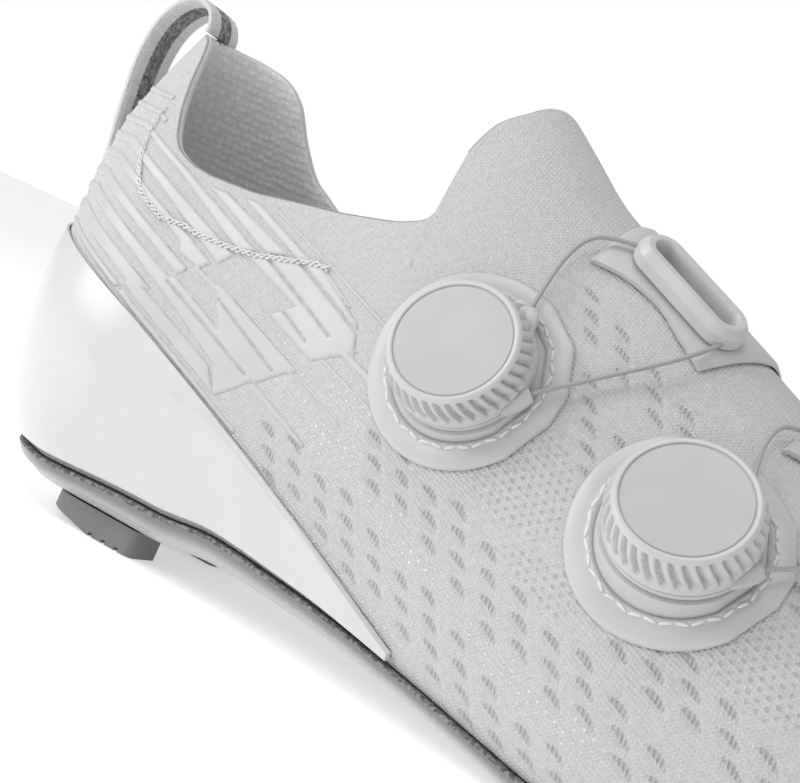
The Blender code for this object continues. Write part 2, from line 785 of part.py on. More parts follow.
def build_pad(shop, side, name):
    """A heel pad: a rubber block with a bevelled rear and grooves across its tread."""
    top = LAST.sole_bottom(PAD_REAR + PAD_LENGTH / 2) - GAP
    outline = pad_outline(side)

    def fill(body):
        skin = skin_rows(body, [[Vector((x, y, z)) for x, y in outline] for z in (top, 0.0)], closed=True)
        for row in skin:
            body.faces.new(row)

    part = shop.add(name, mesh_of(name, fill), shop.rubber, 30)

    def grooves(body):
        count = int((PAD_LENGTH - PAD_BEVEL_LENGTH) / PAD_GROOVE_PITCH)
        for i in range(1, count + 1):
            made = bmesh.ops.create_cube(body, size=1.0)["verts"]
            x = PAD_REAR + PAD_LENGTH - i * PAD_GROOVE_PITCH
            size = Matrix.Diagonal((PAD_GROOVE_WIDTH, PAD_GROOVE_REACH, 2 * PAD_GROOVE_DEPTH, 1))
            spot = Matrix.Translation((x, side * LAST.half_width(side, HEEL_AXIS, True), 0))
            bmesh.ops.transform(body, matrix=spot @ size, verts=made)

    def bevel(body):
        tilt = math.atan2(PAD_BEVEL_RISE, PAD_BEVEL_LENGTH)
        made = bmesh.ops.create_cube(body, size=1.0)["verts"]
        size = Matrix.Diagonal((2 * PAD_LENGTH, PAD_GROOVE_REACH, PAD_HEIGHT, 1))
        lower = Matrix.Translation((-PAD_LENGTH, 0, -PAD_HEIGHT / 2))
        edge = Matrix.Translation(
            (PAD_REAR + PAD_BEVEL_LENGTH, side * LAST.half_width(side, HEEL_AXIS, True), 0)
        )
        turn = Matrix.Rotation(tilt, 4, "Y")
        bmesh.ops.transform(body, matrix=edge @ turn @ lower @ size, verts=made)

    boolean(part, shop.cutter(name + "_bevel_tool", mesh_of(name + "_bevel_tool", bevel)))
    boolean(part, shop.cutter(name + "_groove_tool", mesh_of(name + "_groove_tool", grooves)))
    return part


def frame_matrix(origin, along, normal):
    """A frame whose X lies along a direction and whose Z is a normal."""
    z = normal.normalized()
    x = (along - z * along.dot(z)).normalized()
    y = z.cross(x)
    made = Matrix.Identity(4)
    for i, axis in enumerate((x, y, z)):
        made.col[i][:3] = axis
    made.col[3][:3] = origin
    return made


class Dial:
    """One lace dial: its place on the outer side of the upper and its stack of pieces."""

    corner_angles = (-38, -10, 8, 38, 66)

    def __init__(self, word, station, height, tilt_up):
        self.word = word
        station = station * SHOE_LENGTH
        level = LAST.level_of(station, height * INSTEP_HEIGHT)
        spot = LAST.point(-1, LAST.run_of(station), level)
        normal = LAST.normal(-1, LAST.run_of(station), level)
        tilt = Matrix.Rotation(math.radians(-tilt_up), 3, "X")
        self.frame = frame_matrix(spot, Vector((1, 0, 0)), tilt @ normal)
        highest = max(self.skin(HOUSING_RADIUS + SEAT_MARGIN, angle) for angle in range(0, 360, 15))
        self.seat = highest + GAP + FLANGE_SEAT

    def skin(self, radius, degrees):
        """Height of the upper's surface over the dial's own plane, at a radius and an angle."""
        angle = math.radians(degrees)
        flat = self.frame @ Vector((radius * math.cos(angle), radius * math.sin(angle), 0))
        axis = self.frame.col[2].to_3d()
        low, high = -0.02, 0.012
        for _ in range(40):
            middle = (low + high) / 2
            spot = flat + axis * middle
            if spot.y > LAST.outer_y(spot.x, spot.z):
                low = middle
            else:
                high = middle
        return (low + high) / 2

    def outline(self, degrees):
        """Radius of the flange: round, with straight stretches between its toe-side corners."""
        corners = self.corner_angles
        for first, second in zip(corners, corners[1:]):
            if first <= degrees <= second:
                half = math.radians(second - first) / 2
                middle = math.radians((first + second) / 2)
                return FLANGE_RADIUS * math.cos(half) / math.cos(math.radians(degrees) - middle)
        return FLANGE_RADIUS

    def build_flange(self, shop):
        """The thin sewn flange: its back follows the upper, and it has a flat seat for the dial."""
        angles = sorted(set(range(-180, 180, 18)) | set(self.corner_angles))

        def point(share, degrees, lift, top):
            radius = self.outline(degrees) * share
            under = self.skin(radius, degrees) + GAP
            height = under + lift * FLANGE_EDGE * top if lift or not top else self.seat
            angle = math.radians(degrees)
            return self.frame @ Vector((radius * math.cos(angle), radius * math.sin(angle), height))

        def fill(body):
            rings = [(0.0, 0.0)] + FLANGE_RINGS.rows
            low = [[point(share, turn, lift, 0) for turn in angles] for share, lift in rings]
            high = [[point(share, turn, lift, 1) for turn in angles] for share, lift in rings]
            skin_rows(body, low + high[::-1], closed=True)

        name = f"dial_flange_{self.word}"
        return shop.add(name, mesh_of(name, fill), shop.film, 30)

    def turned(self, profile, segments, wave=0.0, wave_rows=()):
        """Rows of a turned body about the dial's axis, with a scalloped edge where asked."""
        rows = []
        for i, (radius, height) in enumerate(profile):
            row = []
            for k in range(segments):
                angle = 2 * math.pi * k / segments
                cut = wave if i in wave_rows and k % 2 else 0.0
                r = max(radius - cut, 0.0)
                row.append(
                    self.frame @ Vector((r * math.cos(angle), r * math.sin(angle), self.seat + height))
                )
            rows.append(row)
        return rows

    def build_housing(self, shop, ports):
        """The fixed base with a faceted port where each end of the lace comes out."""
        base = GAP
        profile = (
            (0.0, base),
            (HOUSING_RADIUS, base),
            (HOUSING_RADIUS, base + HOUSING_HEIGHT * 0.72),
            (HOUSING_RADIUS - KNOB_CHAMFER, base + HOUSING_HEIGHT),
            (0.0, base + HOUSING_HEIGHT),
        )

        def fill(body):
            skin_rows(body, self.turned(profile, 36), closed=True)

        name = f"dial_housing_{self.word}"
        part = shop.add(name, mesh_of(name, fill), shop.dial, 35)
        for i, (place, toward) in enumerate(ports):
            self.add_port(shop, part, f"{name}_port_{i}", place, toward)
        return part

    def add_port(self, shop, part, name, place, toward):
        """Joins a port block to the housing and bores it for the lace."""
        local = self.frame.inverted() @ toward
        direction = Vector((local.x - place[0], local.y - place[1], 0)).normalized()
        start = Vector((place[0], place[1], 0))

        def block(body):
            made = bmesh.ops.create_cube(body, size=1.0)["verts"]
            for vert in made:
                if vert.co.x > 0:
                    vert.co.y *= 0.62
                    if vert.co.z > 0:
                        vert.co.z *= 0.55
            size = Matrix.Diagonal((PORT_LENGTH, PORT_WIDTH, PORT_HEIGHT, 1))
            middle = start + Vector((0, 0, self.seat + 1.3 * GAP + PORT_HEIGHT / 2))
            turn = frame_matrix(middle, direction, Vector((0, 0, 1)))
            bmesh.ops.transform(body, matrix=self.frame @ turn @ size, verts=made)

        tool = shop.cutter(name + "_tool", mesh_of(name + "_tool", block))
        boolean(part, tool, "UNION")
        ends = [self.lace_exit(place, toward, share * PORT_LENGTH) for share in (-0.68, 1.9)]
        bore = tube_mesh(name + "_bore", ends, LACE_RADIUS + LACE_CLEARANCE)
        boolean(part, shop.cutter(name + "_bore", bore))

    def lace_exit(self, place, toward, distance):
        """A point on the lace's line out of a port, by its distance from the port's middle."""
        local = self.frame.inverted() @ toward
        direction = Vector((local.x - place[0], local.y - place[1], 0)).normalized()
        height = self.seat + GAP + PORT_HEIGHT * 0.42
        return self.frame @ (Vector((place[0], place[1], height)) + direction * distance)

    def build_knob(self, shop):
        """The turning knob with its grip edge and recessed cap."""
        low = GAP + HOUSING_HEIGHT + GAP
        high = low + KNOB_HEIGHT
        profile = (
            (0.0, low),
            (KNOB_RADIUS - 2 * KNOB_CHAMFER, low),
            (KNOB_RADIUS, low + KNOB_CHAMFER),
            (KNOB_RADIUS, low + KNOB_HEIGHT * 0.42),
            (CAP_RADIUS + 2 * KNOB_CHAMFER, high - KNOB_CHAMFER),
            (CAP_RADIUS + KNOB_CHAMFER, high),
            (CAP_RADIUS, high),
            (CAP_RADIUS, high - CAP_RECESS),
            (0.0, high - CAP_RECESS),
        )

        def fill(body):
            skin_rows(body, self.turned(profile, 2 * KNURL_COUNT, KNURL_DEPTH, (2, 3)), closed=True)

        name = f"dial_knob_{self.word}"
        return shop.add(name, mesh_of(name, fill), shop.dial, 25)


def tube_mesh(name, points, radius):
    """A closed round tube through points, as a mesh."""
    line = bpy.data.curves.new(name + "_line", "CURVE")
    line.dimensions = "3D"
    line.bevel_depth = radius
    line.bevel_resolution = 2
    line.use_fill_caps = True
    spline = line.splines.new("POLY")
    spline.points.add(len(points) - 1)
    for spot, point in zip(spline.points, points):
        spot.co = (*point, 1.0)
    holder = bpy.data.objects.new(name + "_line", line)
    bpy.context.scene.collection.objects.link(holder)
    evaluated = holder.evaluated_get(bpy.context.evaluated_depsgraph_get())
    made = bpy.data.meshes.new_from_object(evaluated)
    bpy.data.objects.remove(holder, do_unlink=True)
    body = bmesh.new()
    body.from_mesh(made)
    bmesh.ops.remove_doubles(body, verts=body.verts, dist=1e-6)
    bmesh.ops.recalc_face_normals(body, faces=body.faces)
    body.to_mesh(made)
    body.free()
    return made


def smooth_line(points, step):
    """Points spaced by about a step along a smooth curve through given points."""
    made = []
    extended = [points[0] * 2 - points[1]] + list(points) + [points[-1] * 2 - points[-2]]
    for a, b, c, d in zip(extended, extended[1:], extended[2:], extended[3:]):
        count = max(1, round((c - b).length / step))
        for i in range(count):
            t = i / count
            made.append(
                (
                    b * 2
                    + (c - a) * t
                    + (a * 2 - b * 5 + c * 4 - d) * t**2
                    + (b * 3 - a - c * 3 + d) * t**3
                )
                / 2
            )
    return made + [points[-1]]


class Guide:
    """A slotted lace guide on a strap over the instep."""

    side = -1
    level = 0.80

    def __init__(self, word, station, strap, reach):
        self.word = word
        self.station = station * SHOE_LENGTH
        self.strap_length = GUIDE_LENGTH * strap
        self.reach = reach
        run = LAST.run_of(self.station)
        spot = LAST.point(self.side, run, self.level)
        normal = LAST.normal(self.side, run, self.level)
        along = LAST.point(self.side, run + 0.05, self.level) - LAST.point(self.side, run - 0.05, self.level)
        self.frame = frame_matrix(spot, along, normal)
        self.base = SHEET_GAP + STRAP_WALL + GAP
        self.lace_height = self.base + LACE_RADIUS + GAP

    def capsule(self, length, width, height, count=20):
        """Points round a capsule in the guide's plane."""
        radius = width / 2
        reach = length / 2 - radius
        row = []
        for k in range(count):
            angle = 2 * math.pi * (k + 0.5) / count
            end = reach if math.cos(angle) > 0 else -reach
            spot = Vector((end + radius * math.cos(angle), radius * math.sin(angle), height))
            row.append(self.frame @ spot)
        return row

    def build(self, shop, route):
        """The guide's ring, with the channel that its lace runs through."""
        top = self.base + GUIDE_HEIGHT
        slot_length = GUIDE_LENGTH - (GUIDE_WIDTH - GUIDE_SLOT_WIDTH)
        loops = (
            (GUIDE_LENGTH, GUIDE_WIDTH, self.base),
            (GUIDE_LENGTH, GUIDE_WIDTH, top - GUIDE_HEIGHT * 0.45),
            (GUIDE_LENGTH - 2 * GUIDE_BEVEL, GUIDE_WIDTH - 2 * GUIDE_BEVEL, top),
            (slot_length + 0.0006, GUIDE_SLOT_WIDTH + 0.0006, top),
            (slot_length - 0.0006, GUIDE_SLOT_WIDTH - 0.0006, self.base),
            (GUIDE_LENGTH, GUIDE_WIDTH, self.base),
        )

        def fill(body):
            skin_rows(body, [self.capsule(*loop) for loop in loops], closed=True)

        name = f"lace_guide_{self.word}"
        part = shop.add(name, mesh_of(name, fill), shop.dial, 35)
        channel = tube_mesh(name + "_channel", route, LACE_RADIUS + LACE_CLEARANCE)
        boolean(part, shop.cutter(name + "_channel", channel))
        return part

    def lace_points(self):
        """The lace's way round the guide: in at the rear end, along the inner rim, out in front."""
        radius = (GUIDE_WIDTH + GUIDE_SLOT_WIDTH) / 4
        reach = (GUIDE_LENGTH - GUIDE_WIDTH) / 2
        spots = []
        for degrees in (-10, 25, 60, 90):
            angle = math.radians(degrees)
            spots.append((-reach - radius * math.cos(angle), radius * math.sin(angle)))
        spots += [(-x, y) for x, y in reversed(spots)]
        return [self.frame @ Vector((x, y, self.lace_height)) for x, y in spots]

    def build_strap(self, shop):
        """The strap under the guide, from the outer side of the ridge to the inner foot line."""
        rear = STRAP_EDGES.curve("rear", self.strap_length, 1.0)
        front = STRAP_EDGES.curve("front", self.strap_length, 1.0)
        outer_rows = [-1 + 0.2 * i for i in range(5)]
        inner_rows = [STRAP_STEP * i for i in range(int(STRAP_EDGES.rows[-1][0] / STRAP_STEP) + 1)]

        def fill(body):
            grid = []
            for row in outer_rows + inner_rows:
                side = 1 if row > 0 else -1
                points = []
                for along, edge in STRAP_SIDE.rows:
                    across = row if row > 0 else -row * edge
                    level = 1 - across if row > 0 else 1 + across * self.reach
                    first, last = rear(across), front(across)
                    run = LAST.run_of(self.station + first + (last - first) * along)
                    points.append(LAST.offset(side, run, level, SHEET_GAP))
                grid.append(points)
            skin_rows(body, grid)

        name = f"strap_plate_{self.word}"
        part = shop.add(name, mesh_of(name, fill, Vector((self.station, 0, 0.03))), shop.film, 50)
        wall = part.modifiers.new("wall", "SOLIDIFY")
        wall.thickness = STRAP_WALL
        wall.offset = 1
        wall.use_even_offset = True
        return part


def build_lace(shop, word, points):
    """A lace loop held between its dial and its guide, as a round tube."""
    name = f"lace_{word}"
    line = bpy.data.curves.new(name, "CURVE")
    line.dimensions = "3D"
    line.bevel_depth = LACE_RADIUS
    line.bevel_resolution = 2
    line.use_fill_caps = True
    spline = line.splines.new("POLY")
    spline.points.add(len(points) - 1)
    for spot, point in zip(spline.points, points):
        spot.co = (*point, 1.0)
    line.materials.append(shop.cord)
    made = bpy.data.objects.new(name, line)
    made.parent = shop.datum
    shop.parts.objects.link(made)
    return made


def lace_way(word, way):
    """The points of a lace over the outer side of the upper, from its dial or back to it."""
    made = []
    for lace, direction, station, level, lift in LACE_WAYS.rows:
        if (lace, direction) == (word, way):
            height = lift * 2 * LACE_RADIUS
            made.append(LAST.offset(-1, LAST.run_of(station * SHOE_LENGTH), level, height))
    return made


def build_dial_set(shop, dial, guide):
    """A dial, its guide and strap, and the whole lace: port, instep, guide and back to a port."""
    out_port, back_port = [(along * KNOB_RADIUS, up * KNOB_RADIUS) for _, along, up in PORTS.rows]
    out_way = lace_way(dial.word, "out")
    back_way = lace_way(dial.word, "back")
    reaches = (-PORT_REACH, PORT_REACH)
    first = [dial.lace_exit(out_port, out_way[0], reach) for reach in reaches]
    last = [dial.lace_exit(back_port, back_way[-1], reach) for reach in reversed(reaches)]
    route = smooth_line(first + out_way + guide.lace_points() + back_way + last, 6.5 * LACE_RADIUS)
    dial.build_flange(shop)
    dial.build_housing(shop, ((out_port, out_way[0]), (back_port, back_way[-1])))
    dial.build_knob(shop)
    guide.build_strap(shop)
    guide.build(shop, route)
    build_lace(shop, dial.word, route)


def build_loop(shop):
    """The pull loop: a tape from the back of the heel, bowed out and over to the rim of the tab."""
    back = LAST.heel_back(0.67 * HEEL_TAB_HEIGHT) - GAP - LOOP_THICKNESS / 2
    rim = LAST.heel_back(HEEL_TAB_HEIGHT) + UPPER_WALL / 2
    path = []
    for over, drop, rise, bulge in LOOP_PATH.rows:
        x = back + over * (rim - back) - bulge * LOOP_BULGE
        path.append(Vector((x, 0, HEEL_TAB_HEIGHT + GAP - drop * LOOP_DROP + rise * LOOP_RISE)))
    middle = smooth_line(path, 0.0035)

    def fill(body):
        rows = []
        for i, point in enumerate(middle):
            before = middle[max(i - 1, 0)]
            after = middle[min(i + 1, len(middle) - 1)]
            along = (after - before).normalized()
            normal = Vector((-along.z, 0, along.x)) * LOOP_THICKNESS / 2
            across = Vector((0, LOOP_WIDTH / 2, 0))
            front, rear = point + normal, point - normal
            rows.append([front - across, front + across, rear + across, rear - across])
        skin = skin_rows(body, rows, closed=True)
        body.faces.new(skin[0])
        body.faces.new(skin[-1])

    return shop.add("pull_loop", mesh_of("pull_loop", fill), shop.tape, 35)


def main():
    """Builds the whole shoe."""
    shop = Workshop()
    build_sole(shop)
    build_insole(shop)
    build_pad(shop, -1, "heel_pad_outer")
    build_pad(shop, 1, "heel_pad_inner")
    build_upper(shop)
    build_counter(shop)
    build_loop(shop)
    for dial_row, guide_row in zip(DIALS.rows, GUIDES.rows):
        build_dial_set(shop, Dial(*dial_row), Guide(*guide_row))


if __name__ == "__main__":
    main()
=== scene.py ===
"""Looks of a right road cycling shoe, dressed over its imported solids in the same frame."""

import json
import logging
import math
from dataclasses import dataclass
from enum import Enum
from typing import Callable, Sequence

import bmesh
import bpy
import numpy as np
from mathutils import Matrix, Vector

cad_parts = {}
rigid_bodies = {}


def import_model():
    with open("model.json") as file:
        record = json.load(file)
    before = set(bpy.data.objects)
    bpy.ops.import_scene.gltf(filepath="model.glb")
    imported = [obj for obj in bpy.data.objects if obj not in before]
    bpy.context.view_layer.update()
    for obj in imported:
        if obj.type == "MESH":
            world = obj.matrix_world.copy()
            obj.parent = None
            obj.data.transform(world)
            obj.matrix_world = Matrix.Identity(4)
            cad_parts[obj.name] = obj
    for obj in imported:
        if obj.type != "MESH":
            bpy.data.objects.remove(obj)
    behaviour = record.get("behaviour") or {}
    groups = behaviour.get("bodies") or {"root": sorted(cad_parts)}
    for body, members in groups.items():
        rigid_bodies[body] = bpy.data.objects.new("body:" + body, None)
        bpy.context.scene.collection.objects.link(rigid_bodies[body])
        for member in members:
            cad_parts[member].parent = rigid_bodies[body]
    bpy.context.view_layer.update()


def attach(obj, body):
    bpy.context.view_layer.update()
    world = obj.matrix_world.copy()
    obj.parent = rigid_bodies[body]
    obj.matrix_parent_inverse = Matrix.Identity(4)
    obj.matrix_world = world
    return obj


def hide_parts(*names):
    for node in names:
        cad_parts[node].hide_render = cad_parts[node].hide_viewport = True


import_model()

MM = 0.001
LOG = logging.getLogger("cycling_shoe")

SHOE_LENGTH = 0.280
BALL_WIDTH = 0.096
HEEL_WIDTH = 0.0645
INSTEP_HEIGHT = 0.1225
COLLAR_HEIGHT = 0.081
HEEL_TAB_HEIGHT = 0.1105
HEEL_AXIS = 0.040
TOE_AXIS = 0.200
FLAT_SPOT = 0.183
UPPER_WALL = 0.0022
GAP = 0.0003
PAD_HEIGHT = 0.006
TOE_SPRING = 0.0145
SOLE_THICKNESS = 0.005
SOLE_LIP = 0.0018
TUCK_SWEEP = math.radians(60)


class Side(Enum):
    """Which side of the foot a surface lies on."""

    OUTER = -1
    INNER = 1


class Table:
    """Rows under named columns, read as smooth curves that never overshoot a row."""

    def __init__(self, columns: str, *rows: tuple) -> None:
        """Keeps the rows.

        Args:
            columns: Names of the columns, with spaces between them.
            rows: One tuple of numbers for each row.
        """
        self.columns = columns.split()
        self.rows = np.array(rows, dtype=float)

    def column(self, name: str) -> np.ndarray:
        """The values of one column."""
        return self.rows[:, self.columns.index(name)]

    def curve(self, name: str, unit: float = 1.0, key_unit: float = SHOE_LENGTH) -> "Curve":
        """A curve of one column against the first, each times its unit."""
        return Curve(self.column(self.columns[0]) * key_unit, self.column(name) * unit)


class Curve:
    """A piecewise cubic through points, level wherever its points are level."""

    def __init__(self, keys: np.ndarray, values: np.ndarray) -> None:
        """Works out the slope at each point.

        Args:
            keys: Rising places along the curve.
            values: Value at each place.
        """
        self.keys = np.asarray(keys, dtype=float)
        self.values = np.asarray(values, dtype=float)
        steps = np.diff(self.keys)
        rises = np.diff(self.values) / steps
        slopes = np.zeros(len(self.keys))
        for i in range(1, len(self.keys) - 1):
            before, after = rises[i - 1], rises[i]
            if before * after > 0:
                near = 2 * steps[i] + steps[i - 1]
                far = steps[i] + 2 * steps[i - 1]
                slopes[i] = (near + far) / (near / before + far / after)
        slopes[0], slopes[-1] = rises[0], rises[-1]
        self.slopes = slopes

    def __call__(self, place: np.ndarray | float) -> np.ndarray:
        """The curve's value at each place.

        Args:
            place: Places, also beyond the ends, where the curve runs on straight.

        Returns:
            One value for each place.
        """
        place = np.asarray(place, dtype=float)
        i = np.clip(np.searchsorted(self.keys, place) - 1, 0, len(self.keys) - 2)
        step = self.keys[i + 1] - self.keys[i]
        share = (place - self.keys[i]) / step
        t = np.clip(share, 0.0, 1.0)
        inside = (
            self.values[i] * (1 + 2 * t) * (1 - t) ** 2
            + self.slopes[i] * step * t * (1 - t) ** 2
            + self.values[i + 1] * t * t * (3 - 2 * t)
            + self.slopes[i + 1] * step * t * t * (t - 1)
        )
        before = np.where(share < 0, self.slopes[0] * (place - self.keys[0]), 0.0)
        after = np.where(share > 1, self.slopes[-1] * (place - self.keys[-1]), 0.0)
        return inside + before + after


SECTIONS = Table(
    "station outer inner outer_foot inner_foot centre belly ridge rise_power side_power",
    (0.143, 1.00, 1.00, 0.850, 0.850, 0.000, 0.278, 1.143, 1.50, 1.10),
    (0.250, 0.96, 0.94, 0.835, 0.800, 0.000, 0.290, 1.100, 1.60, 1.45),
    (0.325, 0.93, 0.92, 0.805, 0.760, -0.008, 0.290, 1.035, 1.75, 1.70),
    (0.361, 0.93, 0.93, 0.805, 0.750, -0.010, 0.284, 0.994, 1.75, 1.75),
    (0.386, 0.93, 0.94, 0.810, 0.750, -0.012, 0.276, 0.954, 1.75, 1.75),
    (0.432, 0.94, 0.96, 0.820, 0.760, -0.018, 0.250, 0.880, 1.70, 1.75),
    (0.482, 0.95, 0.97, 0.840, 0.800, -0.023, 0.215, 0.830, 1.65, 1.72),
    (0.539, 0.96, 0.97, 0.865, 0.845, -0.026, 0.184, 0.770, 1.62, 1.68),
    (0.593, 0.98, 0.97, 0.890, 0.880, -0.026, 0.165, 0.712, 1.62, 1.68),
    (0.643, 0.99, 0.98, 0.910, 0.905, -0.018, 0.156, 0.655, 1.70, 1.75),
    (0.714, 1.00, 1.00, 0.930, 0.930, 0.004, 0.155, 0.580, 1.90, 1.90),
    (0.786, 1.00, 1.00, 0.930, 0.930, 0.030, 0.158, 0.510, 1.90, 1.90),
    (0.857, 1.00, 1.00, 0.930, 0.930, 0.054, 0.172, 0.445, 1.90, 1.90),
    (0.929, 1.00, 1.00, 0.930, 0.930, 0.076, 0.204, 0.384, 1.90, 1.90),
    (1.000, 1.00, 1.00, 0.930, 0.930, 0.092, 0.238, 0.327, 1.90, 1.90),
)
SOLE_ROWS = Table(
    "station arch spring rim",
    (0.000, 1.45, 0.00, 0.60),
    (0.054, 1.30, 0.00, 0.66),
    (0.100, 1.08, 0.00, 0.86),
    (0.121, 1.00, 0.00, 0.94),
    (0.225, 1.00, 0.00, 1.20),
    (0.286, 1.30, 0.00, 1.12),
    (0.364, 1.20, 0.00, 0.98),
    (0.461, 0.85, 0.00, 0.84),
    (0.539, 0.37, 0.00, 0.80),
    (0.593, 0.00, 0.00, 0.90),
    (0.714, 0.00, 0.00, 0.92),
    (0.768, 0.00, 0.06, 0.94),
    (0.839, 0.00, 0.24, 0.96),
    (0.911, 0.00, 0.52, 0.96),
    (1.000, 0.00, 1.00, 0.90),
)
HEEL_BACK = Table(
    "height station squareness",
    (0.090, 0.145, 2.05),
    (0.140, 0.108, 2.10),
    (0.200, 0.077, 2.15),
    (0.260, 0.054, 2.15),
    (0.340, 0.037, 2.20),
    (0.430, 0.024, 2.20),
    (0.540, 0.013, 2.25),
    (0.660, 0.006, 2.30),
    (0.760, 0.010, 2.40),
    (0.870, 0.041, 2.50),
    (0.980, 0.081, 2.60),
    (1.030, 0.098, 2.60),
)

# Ribs of the upper: foot run, then top run and top height of the outer and the inner side
HEEL_RIBS = Table(
    "turn outer_top inner_top",
    (90, 0.998, 1.000),
    (75, 0.996, 1.002),
    (61, 0.992, 1.003),
    (48, 0.978, 1.003),
    (38, 0.940, 1.000),
    (30, 0.880, 0.996),
    (22, 0.810, 0.985),
    (14, 0.750, 0.955),
    (7, 0.730, 0.885),
)
COLLAR_RIBS = Table(
    "foot outer_station outer_top inner_station inner_top",
    (0.143, 0.143, 0.985, 0.146, 1.105),
    (0.179, 0.179, 0.988, 0.181, 1.050),
    (0.221, 0.221, 1.008, 0.221, 1.055),
    (0.264, 0.264, 1.030, 0.264, 1.080),
    (0.304, 0.304, 1.060, 0.303, 1.105),
    (0.336, 0.327, 1.105, 0.325, 1.145),
    (0.364, 0.331, 1.180, 0.330, 1.205),
    (0.386, 0.323, 1.290, 0.323, 1.300),
    (0.407, 0.327, 1.385, 0.327, 1.390),
    (0.427, 0.340, 1.455, 0.340, 1.455),
)
RIDGE_RIBS = Table(
    "foot top",
    (0.446, 0.364),
    (0.468, 0.392),
    (0.496, 0.428),
    (0.529, 0.475),
    (0.564, 0.525),
    (0.604, 0.578),
    (0.643, 0.629),
    (0.679, 0.673),
    (0.714, 0.714),
)
TOE_TURNS = np.array((14.0, 28.0, 42.0, 56.0, 68.0, 79.0, 90.0))


def power(value: np.ndarray, exponent: np.ndarray | float) -> np.ndarray:
    """A power of values that round-off may leave just under nought."""
    return np.maximum(value, 0.0) ** exponent


def smooth(low: float, high: float, value: np.ndarray) -> np.ndarray:
    """A soft step from nought at low to one at high."""
    t = np.clip((value - low) / (high - low), 0.0, 1.0)
    return t * t * (3 - 2 * t)


def run_of(station: np.ndarray | float) -> np.ndarray | float:
    """The run of a station: nought at the heel axis, one at the toe axis."""
    return (station - HEEL_AXIS) / (TOE_AXIS - HEEL_AXIS)


